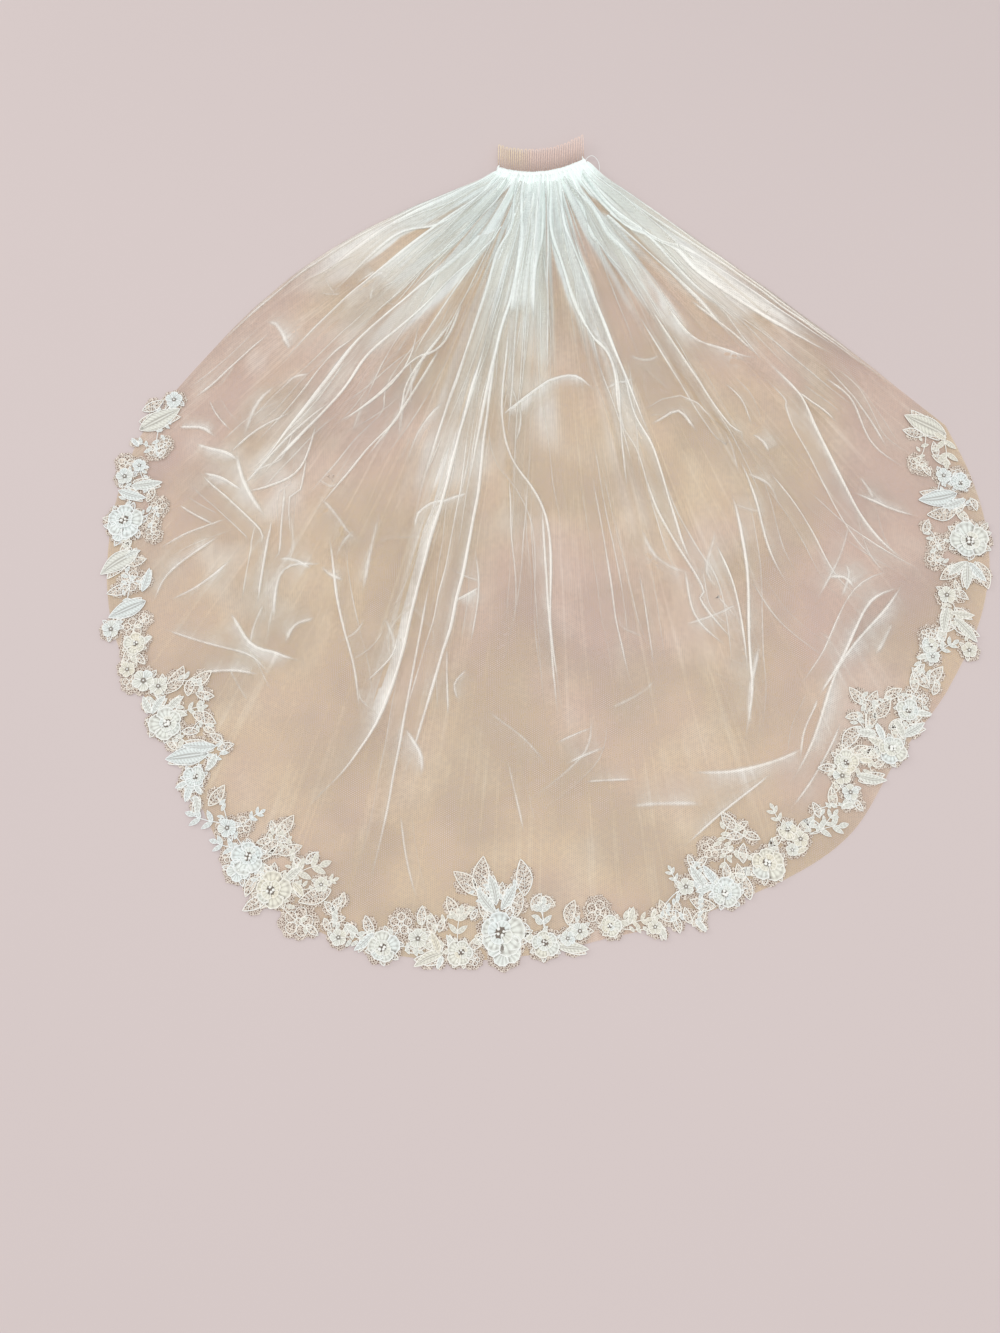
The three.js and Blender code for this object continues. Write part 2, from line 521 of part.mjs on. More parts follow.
function roundOutline(centre, radius, lobes, depth, turn, steps) {
  const outline = [];
  for (let step = 0; step < steps; step += 1) {
    const angle = 2 * Math.PI * step / steps;
    const lobe = Math.abs(Math.cos(lobes * (angle - radians(turn)) / 2));
    const reach = radius * (1 - depth + depth * lobe ** 0.7);
    outline.push(new THREE.Vector2(centre.x + reach * Math.cos(angle), centre.y + reach * Math.sin(angle)));
  }
  return outline;
}

// A pointed oval leaf round its middle, with its tip in the given direction
function leafOutline(centre, direction, length, width) {
  const profile = length > SMALL_LEAF
    ? [[-0.5, 0], [-0.18, 0.95], [0.2, 0.85], [0.5, 0]]
    : [[-0.5, 0], [0, 1], [0.5, 0]];
  const sides = [...profile.map(([x, y]) => [x, -y]), ...profile.slice(1, -1).reverse()];
  const angle = radians(direction);
  return sides.map(([x, y]) => {
    const along = x * length;
    const aside = y * width / 2;
    return new THREE.Vector2(
      centre.x + along * Math.cos(angle) - aside * Math.sin(angle),
      centre.y + along * Math.sin(angle) + aside * Math.cos(angle),
    );
  });
}

function barOutline(from, to, width) {
  const run = Math.hypot(to.x - from.x, to.y - from.y);
  const side = { x: -(to.y - from.y) / run * width / 2, y: (to.x - from.x) / run * width / 2 };
  return [
    new THREE.Vector2(from.x - side.x, from.y - side.y), new THREE.Vector2(to.x - side.x, to.y - side.y),
    new THREE.Vector2(to.x + side.x, to.y + side.y), new THREE.Vector2(from.x + side.x, from.y + side.y),
  ];
}

// The flat outlines of one motif, with the middle of each so that stems can join them.
// Grow widens every outline, for the room that a neighbouring motif leaves.
function motifOutlines(motif, grow) {
  const shift = ([x, y]) => ({ x: motif.x + x, y: motif.y + y });
  const items = [];
  const add = (middle, radius, outlines, raised = null) => (
    items.push({ middle, radius, outlines, raised }));
  if (motif.flower) {
    const middle = shift([0, 0]);
    const ring = roundOutline(middle, motif.flower + grow, 5, 0.2, motif.turn, 15);
    const inner = roundOutline(middle, motif.flower * 0.62, 5, 0.14, motif.turn + 36, 10);
    add(middle, motif.flower, [ring], inner);
  }
  for (const [x, y, radius] of motif.blooms) {
    const middle = shift([x, y]);
    const ring = roundOutline(middle, radius + grow, 5, 0.3, motif.turn + 90, 10);
    const button = roundOutline(middle, radius * 0.5, 5, 0, 0, 5);
    add(middle, radius, [ring], radius < RAISED_BLOOM ? null : button);
  }
  for (const [x, y, radius] of motif.netBlooms) {
    const middle = shift([x, y]);
    add(middle, radius, [roundOutline(middle, radius + grow, 5, 0.24, motif.turn, 10)]);
  }
  for (const [x, y, direction, length] of motif.leaves) {
    const middle = shift([x, y]);
    const width = length * LEAF_WIDTH + 2 * grow;
    add(middle, length * LEAF_WIDTH / 2, [leafOutline(middle, direction, length + 2 * grow, width)]);
  }
  for (const [x, y, direction, length] of motif.nets) {
    const middle = shift([x, y]);
    const width = length * LEAF_WIDTH * 1.2 + 2 * grow;
    add(middle, length * LEAF_WIDTH * 0.6, [leafOutline(middle, direction, length + 2 * grow, width)]);
  }
  for (const [x, y, direction, length] of motif.sprigs) {
    const root = shift([x, y]);
    const run = { x: Math.cos(radians(direction)), y: Math.sin(radians(direction)) };
    const outlines = [barOutline(root, { x: root.x + run.x * length * 0.8,
      y: root.y + run.y * length * 0.8 }, STEM_WIDTH + 2 * grow)];
    const leaflet = length * LEAFLET_SHARE;
    for (let pair = 0; pair < SPRIG_PAIRS; pair += 1) {
      const along = length * (0.3 + 0.34 * pair);
      for (const hand of [-1, 1]) {
        const lean = radians(direction + hand * LEAFLET_LEAN);
        const middle = {
          x: root.x + run.x * along + Math.cos(lean) * leaflet * 0.46,
          y: root.y + run.y * along + Math.sin(lean) * leaflet * 0.46 };
        const width = leaflet * 0.46 + 2 * grow;
        outlines.push(leafOutline(middle, direction + hand * LEAFLET_LEAN, leaflet + 2 * grow, width));
      }
    }
    add(root, 0, outlines);
  }
  // Each item that lies clear of the others is joined by a stem to the nearest one before it
  items.slice(1).forEach((item, index) => {
    const earlier = items.slice(0, index + 1);
    const distance = (other) => Math.hypot(other.middle.x - item.middle.x, other.middle.y - item.middle.y);
    const nearest = earlier.reduce((best, other) => (distance(other) < distance(best) ? other : best));
    const touch = STEM_FREE_OVERLAP * (nearest.radius + item.radius);
    const width = STEM_WIDTH + 2 * grow;
    if (distance(nearest) > touch) item.outlines.push(barOutline(item.middle, nearest.middle, width));
  });
  return items;
}

const LACE_LOW = NET_WALL + SEAM_GAP;
const LACE_HIGH = LACE_LOW + LACE_THICKNESS;
const BEAD_TOP = LACE_HIGH + PETAL_RISE + BEAD_RISE;

function motifSolid(motif) {
  const items = motifOutlines(motif, 0);
  const flat = items.flatMap((item) => item.outlines.map((outline) => prism(outline, LACE_LOW, LACE_HIGH)));
  const raised = items.filter((item) => item.raised)
    .map((item) => prism(item.raised, LACE_LOW, LACE_HIGH + PETAL_RISE));
  const beads = motif.flower
    ? [prism(roundOutline(motif, motif.flower * BEAD_SHARE, 6, 0, 0, 6), LACE_LOW, BEAD_TOP)]
    : [];
  return joinAll([...flat, ...raised, ...beads]).asOriginal().simplify(OUTLINE_TOLERANCE);
}

function motifRoom(motif) {
  const outlines = motifOutlines(motif, SEAM_GAP + 0.1).flatMap((item) => item.outlines);
  return joinAll(outlines.map((outline) => prism(outline, LACE_LOW - 1, BEAD_TOP + 1)));
}

// Neighbouring motifs meet edge to edge: a later one is trimmed back from those before it
function laceMeshes() {
  const rooms = [];
  return MOTIFS.map((motif, index) => {
    let solid = motifSolid(motif);
    for (const room of rooms) solid = solid.subtract(room);
    rooms.push(motifRoom(motif));
    const bodies = solid.decompose();
    const largest = bodies.reduce((best, body) => (body.volume() > best.volume() ? body : best));
    const name = `lace_motif_${String(index + 1).padStart(2, '0')}`;
    const trimmed = largest.asOriginal().simplify(TRIM_TOLERANCE);
    return fromSolid(name, trimmed, clothMaterial(LACE_COLOURS[motif.tone]));
  });
}

const meshes = [netPanel(), sewnBand(), hairComb(), ...laceMeshes()];

// The part stands on z = 0, with its origin below the middle of its box
const box = new THREE.Box3();
for (const mesh of meshes) box.expandByObject(mesh);
const centre = box.getCenter(new THREE.Vector3());
const veil = new THREE.Group();
for (const mesh of meshes) {
  mesh.position.set(-centre.x, -centre.y, -box.min.z);
  veil.add(mesh);
}

export default veil;
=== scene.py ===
# %% [markdown]
# # A bridal veil laid flat
# The veil is one tier of soft sheer net. It is gathered onto a wire hair comb, spread out as a fan,
# and edged with lace motifs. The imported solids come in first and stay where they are. Each piece
# made below takes the place of one of them, in finer form, in the same frame.

import math

import bpy
import numpy as np
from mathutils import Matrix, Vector


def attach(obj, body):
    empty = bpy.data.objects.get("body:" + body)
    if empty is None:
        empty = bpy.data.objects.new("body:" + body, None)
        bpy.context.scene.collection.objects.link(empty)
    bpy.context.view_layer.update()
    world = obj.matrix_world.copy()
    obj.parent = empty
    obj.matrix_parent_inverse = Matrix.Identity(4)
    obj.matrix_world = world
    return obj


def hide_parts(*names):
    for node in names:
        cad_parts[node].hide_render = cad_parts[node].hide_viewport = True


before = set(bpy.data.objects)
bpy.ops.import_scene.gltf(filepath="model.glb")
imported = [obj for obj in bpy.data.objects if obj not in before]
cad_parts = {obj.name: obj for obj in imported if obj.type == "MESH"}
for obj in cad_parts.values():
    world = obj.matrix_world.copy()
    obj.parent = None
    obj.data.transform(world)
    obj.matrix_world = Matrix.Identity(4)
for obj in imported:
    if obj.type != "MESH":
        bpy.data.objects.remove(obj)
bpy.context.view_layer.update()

# %% [markdown]
# The sizes below are in millimetres, measured from the middle of the fan as it lies on the table.
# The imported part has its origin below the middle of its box, so every point is shifted once, when
# its mesh is made.

# %% Units and the middle of the lay
MM = 0.001
LAY_TO_FRAME = np.array([0.300, 42.676, 0.0])


def in_frame(points):
    """Points in millimetres round the middle of the lay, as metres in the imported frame."""
    return (np.asarray(points, float) - LAY_TO_FRAME) * MM


# %% [markdown]
# The camera looks down on the veil, 75 degrees above the table. A wide lens about 1.1 m up takes in
# the whole fan with room round it. It could be placed last, by eye, but it is made first, because
# everything after it is judged through it. A ray may have to pass many layers of clear net, so the
# number of see-through surfaces that it may cross is raised as well.

# %% Camera
CAMERA_PLACE = (-0.0488, -0.4732, 1.113)
CAMERA_TILT = math.radians(15)
CAMERA_LENS, SENSOR_WIDTH = 29.7, 36
MOST_CLEAR_LAYERS = 40

camera = bpy.data.objects.new("camera", bpy.data.cameras.new("camera"))
bpy.context.scene.collection.objects.link(camera)
camera.location = CAMERA_PLACE
camera.rotation_euler = (CAMERA_TILT, 0, 0)
camera.data.sensor_width = SENSOR_WIDTH
camera.data.lens = CAMERA_LENS
camera.data.clip_start = 0.01
bpy.context.scene.camera = camera
bpy.context.scene.view_settings.view_transform = "Standard"
bpy.context.scene.cycles.transparent_max_bounces = MOST_CLEAR_LAYERS
print("camera height:", camera.location.z)

# %% [markdown]
# A finish is a material made of nodes: small steps that turn a place on the surface, or a value
# stored on the mesh, into a colour, a height or a share. It could be painted as a picture instead,
# but nodes stay sharp at any distance and can be changed by one number. The same few kinds of step
# are used over and over here, so each gets a short name first.

# %% Finishes: small helpers
class Finish:
    """A material of nodes. A value given to a step is a socket, a number or a colour."""

    def __init__(self, name):
        self.material = bpy.data.materials.new(name)
        self.material.use_nodes = True
        self.nodes, self.links = self.material.node_tree.nodes, self.material.node_tree.links
        self.place = self.nodes.new("ShaderNodeTexCoord").outputs["Object"]

    def feed(self, socket, value):
        """Links a value to a socket if it is a socket too, or else sets it there."""
        if isinstance(value, bpy.types.NodeSocket):
            self.links.new(value, socket)
        else:
            socket.default_value = value

    def put(self, kind, **values):
        """A node of this kind, with its settings and its sockets by name."""
        node = self.nodes.new(kind)
        for key, value in values.items():
            if hasattr(node, key):
                setattr(node, key, value)
            else:
                self.feed(node.inputs[key.replace("_", " ")], value)
        return node

    def skin_has(self, **values):
        """Sets or links sockets of the surface itself."""
        for key, value in values.items():
            self.feed(self.nodes["Principled BSDF"].inputs[key.replace("_", " ")], value)

    def worked_out(self, operation, first, second=0.0, clamp=False):
        """The result of one step of arithmetic."""
        node = self.put("ShaderNodeMath", operation=operation, use_clamp=clamp)
        self.feed(node.inputs[0], first)
        self.feed(node.inputs[1], second)
        return node.outputs[0]

    def product(self, first, *others):
        for other in others:
            first = self.worked_out("MULTIPLY", first, other)
        return first

    def colour_between(self, share, first, second):
        node = self.put("ShaderNodeMix", data_type="RGBA", Factor=share)
        for key, colour in (("A", first), ("B", second)):
            self.feed(node.inputs[key], (*colour, 1) if isinstance(colour, tuple) else colour)
        return node.outputs["Result"]

    def scaled(self, colour, amount):
        node = self.put("ShaderNodeVectorMath", operation="SCALE", Scale=amount)
        self.feed(node.inputs[0], colour)
        return node.outputs["Vector"]

    def spread(self, value, low, high, to_low=0.0, to_high=1.0):
        """The run of a value from low to high, eased and laid on another run."""
        node = self.put("ShaderNodeMapRange", interpolation_type="SMOOTHSTEP", Value=value,
                        From_Min=low, From_Max=high, To_Min=to_low, To_Max=to_high)
        return node.outputs["Result"]

    def noise(self, scale, detail=3.0):
        return self.put("ShaderNodeTexNoise", Scale=scale, Detail=detail, Vector=self.place).outputs["Fac"]

    def note(self, name, output="Fac"):
        """A value that the mesh carries for each of its points."""
        return self.put("ShaderNodeAttribute", attribute_name=name).outputs[output]

    def raise_by(self, height, distance, strength):
        """Bump: the surface seems to rise with the height, by a distance in metres."""
        bump = self.put("ShaderNodeBump", Strength=strength, Distance=distance, Height=height)
        self.skin_has(Normal=bump.outputs["Normal"])


# %% [markdown]
# A plain floor in a pale dusty pink carries the veil. Net this thin takes much of its colour from
# what is under it, so the floor is part of how the cloth reads. A curved backdrop would do as well,
# but the camera sees no horizon here, so one large square is enough. Two close tones, mixed in
# large soft patches, keep it from looking like flat paper, and it lies a hair below the veil.

# %% Floor
FLOOR_REACH, FLOOR_GAP = 6.0, 0.0002
FLOOR_TONES = (0.635, 0.548, 0.535), (0.655, 0.565, 0.552)
FLOOR_PATCHES = 2.2


def floor_finish():
    finish = Finish("floor_paint")
    tone = finish.colour_between(finish.noise(FLOOR_PATCHES), *FLOOR_TONES)
    finish.skin_has(Base_Color=tone, Roughness=0.9)
    return finish.material


floor_corners = [(x * FLOOR_REACH, y * FLOOR_REACH, 0) for x, y in ((-1, -1), (1, -1), (1, 1), (-1, 1))]
floor_mesh = bpy.data.meshes.new("floor")
floor_mesh.from_pydata(floor_corners, [], [(0, 1, 2, 3)])
floor_mesh.materials.append(floor_finish())
floor = bpy.data.objects.new("floor", floor_mesh)
floor.location.z = -FLOOR_GAP
bpy.context.scene.collection.objects.link(floor)
print("floor:", 2 * FLOOR_REACH, "m wide")

# %% [markdown]
# Soft daylight comes from a large lamp overhead. A smaller lamp stands low on the left, so that
# each crease has a light side and a shaded one. A picture of a room could light the scene instead,
# but two lamps and one even colour for the room are plain to change and need no file.

# %% Light
ROOM_COLOUR, ROOM_STRENGTH = (0.97, 0.98, 1.0, 1), 0.70


def soft_lamp(name, place, aim, size, power, colour):
    lamp = bpy.data.objects.new(name, bpy.data.lights.new(name, "AREA"))
    lamp.data.shape = "DISK"
    lamp.data.size = size
    lamp.data.energy = power
    lamp.data.color = colour
    lamp.location = place
    lamp.rotation_euler = (Vector(aim) - Vector(place)).to_track_quat("-Z", "Y").to_euler()
    bpy.context.scene.collection.objects.link(lamp)


soft_lamp("overhead", place=(0.2, -0.5, 3.4), aim=(0, -0.2, 0), size=2.6, power=44, colour=(1.0, 0.985, 0.96))
soft_lamp("low_left", place=(-2.4, 1.2, 1.2), aim=(0, 0, 0), size=0.8, power=10, colour=(1.0, 0.97, 0.93))
room = bpy.data.worlds.new("room")
room.use_nodes = True
room_light = room.node_tree.nodes["Background"]
room_light.inputs["Color"].default_value = ROOM_COLOUR
room_light.inputs["Strength"].default_value = ROOM_STRENGTH
bpy.context.scene.world = room
print("lamps:", [light.name for light in bpy.data.lights])

# %% [markdown]
# The fan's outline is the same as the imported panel's. The hem is a reach for each turn round the
# middle of the lay, and the top edge follows the bow of the comb. A drawn curve could give the same
# outline, but here it is a function, because every fold, crease and point of the net has to be
# placed inside it too. A point is given by how far across it lies, from the left free edge at 0 to
# the right one at 1, and how far down, from the comb at 0 to the hem at 1.

# %% The fan
COMB_WIDTH, COMB_TURN, COMB_BOW = 105.0, math.radians(6.5), 12.0
COMB_MIDDLE = (0.4, 480.3)
BAND_DEPTH, SEAM_GAP, HEM_INSET = 8.0, 0.3, 4.0
HEM = [
    # turn in degrees, reach
    (-113, 460), (-106, 471), (-93, 475), (-79, 471), (-66, 450), (-57, 443), (-49, 457),
    (-40, 471), (-25, 462), (-13, 445), (0, 426), (10, 416), (27, 421), (44, 436),
    (57, 430), (69, 450), (84, 477), (92, 483), (100, 480), (108, 474),
]
HEM_TURNS, HEM_REACHES = np.array(HEM, float).T
LEFT_BULGE, RIGHT_BULGE, BULGE_SPREAD = 42.0, -8.0, 0.06


def beside_spine(along, out):
    """Beside the comb's bowed spine: along from -1 to 1, out towards the teeth."""
    lean = np.arctan(4 * COMB_BOW * along / COMB_WIDTH)
    x = along * COMB_WIDTH / 2 - out * np.sin(lean)
    y = out * np.cos(lean) - COMB_BOW * (1 - along**2)
    return (
        COMB_MIDDLE[0] + x * math.cos(COMB_TURN) - y * math.sin(COMB_TURN),
        COMB_MIDDLE[1] + x * math.sin(COMB_TURN) + y * math.cos(COMB_TURN),
    )


def hem_reach(turn):
    """A smooth reach between the rows of the hem, by a cubic between each two of them."""
    row = np.clip(np.searchsorted(HEM_TURNS, turn, side="right") - 1, 0, len(HEM_TURNS) - 2)
    share = np.clip((turn - HEM_TURNS[row]) / (HEM_TURNS[row + 1] - HEM_TURNS[row]), 0, 1)
    first, second = HEM_REACHES[row], HEM_REACHES[row + 1]
    bend = (second - HEM_REACHES[np.maximum(row - 1, 0)]) / 2
    next_bend = (HEM_REACHES[np.minimum(row + 2, len(HEM_REACHES) - 1)] - first) / 2
    drop = first - second
    squared = (-3 * drop - 2 * bend - next_bend) * share**2
    return first + bend * share + squared + (2 * drop + bend + next_bend) * share**3


def top_of_net(across):
    """Where the net comes out from under the band."""
    return beside_spine(2 * across - 1, -BAND_DEPTH / 2 - SEAM_GAP)


def on_fan(across, down):
    """The place of a point of the net seen from above."""
    top_x, top_y = top_of_net(across)
    turn = HEM_TURNS[0] + (HEM_TURNS[-1] - HEM_TURNS[0]) * across
    reach = hem_reach(turn) - HEM_INSET
    run_x = reach * np.sin(np.radians(turn)) - top_x
    run_y = -reach * np.cos(np.radians(turn)) - top_y
    bulge = LEFT_BULGE * np.exp(-across / BULGE_SPREAD) + RIGHT_BULGE * np.exp(-(1 - across) / BULGE_SPREAD)
    aside = bulge * np.sin(np.pi * down) / np.hypot(run_x, run_y)
    return top_x + run_x * down + run_y * aside, top_y + run_y * down - run_x * aside


hem_x, _ = on_fan(np.array([0.12, 0.95]), np.array([1.0, 1.0]))
print("hem width:", round(float(hem_x[1] - hem_x[0])), "mm")

# %% [markdown]
# The lace is one table, with a row for each piece of embroidery. Each piece could be placed by hand
# in the viewport, but a table shows the whole hem at a glance, and other steps can read it too. The
# flower's middle is given in millimetres, and the rest is measured from it. Leaves and nets hold x,
# y, the direction of the tip and the length. Blooms hold x, y and the radius. Sprigs hold their
# root, direction and length.

# %% The lace table
MOTIFS = [
    dict(x=-427, y=152, tone="mint", flower=0, turn=0,
         leaves=[(0, 0, 31, 50), (-25, -28, 130, 13)], nets=[(-9, 17, 30, 26), (6, -42, 240, 12)],
         blooms=[(14, 24, 9)], net_blooms=[(-2, -38, 8), (8, -30, 7)], sprigs=[]),
    dict(x=-454, y=29, tone="mint", flower=19, turn=12,
         leaves=[(19, 45, 8, 34), (4, 33, -16, 32)], nets=[(-19, 3, 165, 14), (24, 32, 250, 18)],
         blooms=[(-6, 54, 9), (9, 67, 7), (-4, -10, 12)],
         net_blooms=[(-6, 70, 9), (34, 18, 9), (29, 0, 7), (30, -13, 8)], sprigs=[]),
    dict(x=-455, y=-18, tone="mint", flower=0, turn=0,
         leaves=[(-2, 0, 214, 46), (10, 9, 30, 22), (28, -19, 78, 27), (11, -52, 206, 42)],
         nets=[(15, 3, 10, 24), (0, -30, 200, 26)], blooms=[(-4, -74, 9)],
         net_blooms=[(12, -20, 12)], sprigs=[]),
    dict(x=-433, y=-108, tone="cream", flower=11, turn=30,
         leaves=[(12, 4, 30, 14)], nets=[(-7, -12, 250, 20), (8, -16, 310, 16)],
         blooms=[(-5, -28, 8)], net_blooms=[(-3, 18, 11), (8, 28, 6)], sprigs=[]),
    dict(x=-394, y=-194, tone="ivory", flower=16, turn=40,
         leaves=[(-8, 20, 58, 23), (9, 21, 45, 23), (14, 11, -12, 17), (-20, 20, 118, 20)],
         nets=[(6, 47, 60, 34), (34, 49, 38, 26), (39, 31, -10, 20), (24, 40, 75, 22),
               (40, 6, -25, 28), (27, -8, 0, 18), (46, -7, -25, 14), (9, -23, -40, 15)],
         blooms=[(-26, 46, 11), (-10, 40, 9)], net_blooms=[(-39, 45, 9)], sprigs=[(16, 12, 15, 26)]),
    dict(x=-360, y=-249, tone="mint", flower=11, turn=10,
         leaves=[(3, 32, 178, 34), (-9, 21, 188, 44), (16, 15, 240, 20), (-5, -17, 256, 18),
                 (5, -13, 305, 13), (-12, -9, 205, 14), (4, -29, 280, 20)],
         nets=[(30, 31, 18, 18), (20, 40, 150, 16)], blooms=[], net_blooms=[], sprigs=[]),
    dict(x=-301, y=-332, tone="mint", flower=16, turn=25,
         leaves=[], nets=[(-35, 64, 55, 26), (21, 10, 50, 28), (18, -14, 40, 22), (5, -27, 245, 22)],
         blooms=[(-22, 31, 9), (-8, -11, 11)], net_blooms=[(-6, 34, 9), (-18, 3, 7)],
         sprigs=[(-26, 36, 165, 38), (-6, 10, 165, 32), (-4, 36, 35, 22)]),
    dict(x=-273, y=-362, tone="cream", flower=17, turn=5,
         leaves=[(18, 15, 40, 24), (24, 0, 310, 18)],
         nets=[(8, 64, 50, 26), (-4, 62, 110, 14), (-12, 48, 190, 16), (6, 50, 340, 15),
               (15, 39, 20, 24), (0, 39, 205, 18), (23, 27, 130, 15), (37, 31, 45, 17),
               (41, -6, 200, 34), (-18, -15, 205, 26), (-2, 18, 80, 18), (40, -39, 320, 16)],
         blooms=[(47, 5, 7)], net_blooms=[(26, -31, 15)], sprigs=[(12, 10, 22, 44), (44, 4, 20, 20)]),
    dict(x=-162, y=-416, tone="ivory", flower=15, turn=15,
         leaves=[(-33, 16, 150, 17), (-20, 4, 222, 25)],
         nets=[(-55, 36, 130, 17), (-48, 39, 62, 18), (-42, 44, 82, 15), (-46, 25, 15, 15),
               (-56, 20, 300, 15), (-15, 20, 115, 20)],
         blooms=[(-45, 8, 8)], net_blooms=[(16, 21, 11)], sprigs=[(14, 0, -15, 24)]),
    dict(x=-88, y=-423, tone="cream", flower=12, turn=0,
         leaves=[(-24, 10, 112, 23), (-9, 10, 120, 17), (-30, -6, 205, 32), (-19, -9, 250, 13)],
         nets=[(-37, 36, 90, 19), (-27, 28, 100, 21), (-18, 27, 70, 15), (-8, 44, 115, 23),
               (5, 40, 40, 16), (14, 37, 60, 12)],
         blooms=[(-41, 14, 9)], net_blooms=[(14, -6, 6)], sprigs=[(-2, 8, 84, 36)]),
    dict(x=-45, y=-404, tone="mint", flower=21, turn=18,
         leaves=[(-17, 31, 128, 31), (-11, 42, 104, 31), (5, 35, 60, 29)],
         nets=[(-38, 48, 135, 33), (-22, 56, 84, 38), (19, 54, 96, 36), (-1, 42, 90, 15),
               (15, 28, 75, 26), (-21, 22, 112, 18)],
         blooms=[(1, -15, 16)], net_blooms=[], sprigs=[]),
    dict(x=-4, y=-415, tone="ivory", flower=13, turn=30,
         leaves=[(27, -3, -5, 31)], nets=[(-8, 41, 60, 19), (2, 41, -25, 18), (26, 31, 74, 25)],
         blooms=[(34, 13, 8), (22, 6, 7)], net_blooms=[], sprigs=[(0, 10, 92, 34)]),
    dict(x=61, y=-397, tone="cream", flower=10, turn=0,
         leaves=[(20, 10, 74, 17), (50, -7, 295, 15), (42, 12, 60, 10)], nets=[],
         blooms=[(43, -1, 7)], net_blooms=[(-13, 13, 12)], sprigs=[(14, 0, 15, 26)]),
    dict(x=176, y=-365, tone="mint", flower=14, turn=8,
         leaves=[(-28, 16, 122, 26), (-15, 17, 125, 24), (-22, 4, 200, 18), (-26, -32, 305, 14)],
         nets=[(-64, -16, 105, 19), (-51, -17, 80, 20), (-50, -31, 285, 17), (-59, -25, 170, 17),
               (-39, -22, 110, 17), (-28, -24, 50, 22), (-34, 31, 110, 14), (-22, 30, 50, 15),
               (-24, -10, 165, 26), (21, 5, 100, 24)],
         blooms=[(-40, 6, 8), (-7, 4, 9)], net_blooms=[], sprigs=[(-46, 8, 120, 20)]),
    dict(x=219, y=-338, tone="cream", flower=16, turn=20,
         leaves=[], nets=[(-36, 44, 130, 24), (-23, 39, 40, 14), (-32, 28, 185, 18), (-15, 28, -15, 18),
                          (-40, 15, 20, 14), (-24, 12, 85, 20), (-43, -6, 90, 18), (-29, -8, 100, 20)],
         blooms=[], net_blooms=[(-56, 16, 10)], sprigs=[]),
    dict(x=241, y=-304, tone="cream", flower=9, turn=0,
         leaves=[(12, -19, 20, 14)], nets=[], blooms=[(12, -8, 8), (3, -19, 6)],
         net_blooms=[], sprigs=[(-4, 5, 118, 24)]),
    dict(x=283, y=-299, tone="ivory", flower=0, turn=0,
         leaves=[(20, 20, 200, 14)], nets=[(-12, 16, 110, 17), (32, 21, 300, 14)],
         blooms=[(24, 34, 8)], net_blooms=[], sprigs=[(-20, -8, 14, 38), (-8, -5, 50, 26)]),
    dict(x=306, y=-233, tone="cream", flower=12, turn=10,
         leaves=[(24, -17, -10, 31), (20, 1, -8, 14)],
         nets=[(-21, -6, 185, 18), (-10, 6, 150, 12), (14, 12, 20, 20), (33, -2, 20, 14)],
         blooms=[(-6, -15, 9)], net_blooms=[(0, 13, 6)], sprigs=[]),
    dict(x=353, y=-222, tone="ivory", flower=14, turn=35,
         leaves=[(-14, 10, 160, 20), (-10, 20, 108, 18), (-24, 18, 170, 20)],
         nets=[(-40, 13, 230, 32), (-30, 58, 132, 24), (-16, 52, 60, 26), (7, 60, 30, 22),
               (-37, 36, 190, 16), (-6, 44, 45, 28), (-20, 34, 250, 26), (-19, -5, 190, 14)],
         blooms=[], net_blooms=[], sprigs=[]),
    dict(x=373, y=-179, tone="ivory", flower=11, turn=0,
         leaves=[(-9, -21, 110, 23), (4, -21, 30, 29), (17, -4, -5, 16)],
         nets=[(8, -11, 30, 16), (-5, 12, 120, 14)], blooms=[],
         net_blooms=[(7, 16, 7), (17, 11, 6)], sprigs=[]),
    dict(x=403, y=-110, tone="ivory", flower=8, turn=0,
         leaves=[(-9, -12, 190, 12)],
         nets=[(-13, -35, 125, 27), (4, -32, 50, 24), (1, -46, 70, 16), (11, 3, -20, 14)],
         blooms=[(2, -12, 7)], net_blooms=[(-1, 12, 7), (9, 13, 7)], sprigs=[(6, -10, 32, 28)]),
    dict(x=440, y=-81, tone="cream", flower=0, turn=0,
         leaves=[(-17, -1, 256, 29), (2, 6, -8, 24), (3, -12, 308, 34)],
         nets=[(1, 27, -30, 20), (-2, 38, 95, 12)], blooms=[(4, -34, 8), (-13, 27, 9)],
         net_blooms=[], sprigs=[]),
    dict(x=458, y=10, tone="ivory", flower=20, turn=28,
         leaves=[(-16, -34, 216, 26), (-7, -42, 262, 32), (5, -38, 305, 26)],
         nets=[(-24, -38, 215, 30), (10, -42, 285, 32), (-45, 14, 70, 18), (17, 14, 40, 14)],
         blooms=[], net_blooms=[(-35, -6, 9), (-40, -24, 8)], sprigs=[]),
    dict(x=455, y=76, tone="mint", flower=10, turn=0,
         leaves=[(-26, -17, 190, 43), (-9, -25, 200, 28)], nets=[(-23, -35, 190, 34), (12, -26, 290, 16)],
         blooms=[(-17, 8, 8)], net_blooms=[(-2, 9, 7)], sprigs=[]),
    dict(x=424, y=145, tone="cream", flower=0, turn=0,
         leaves=[(0, 0, 151, 50), (14, -12, 140, 18)], nets=[(-14, -9, 165, 24), (-4, -55, 300, 15)],
         blooms=[], net_blooms=[(-13, -47, 9)], sprigs=[(17, -6, 272, 44)]),
]
print("lace motifs:", len(MOTIFS))

# %% [markdown]
# The net is folded as it lies. Broad folds run out from the comb, each a soft ridge that leans as
# it goes. A cloth simulation could fold the net, but it would lay the folds where it likes, so each
# one has a row here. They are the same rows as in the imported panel, so both have one form. From and
# to are places across, and start and end are shares of the way down.

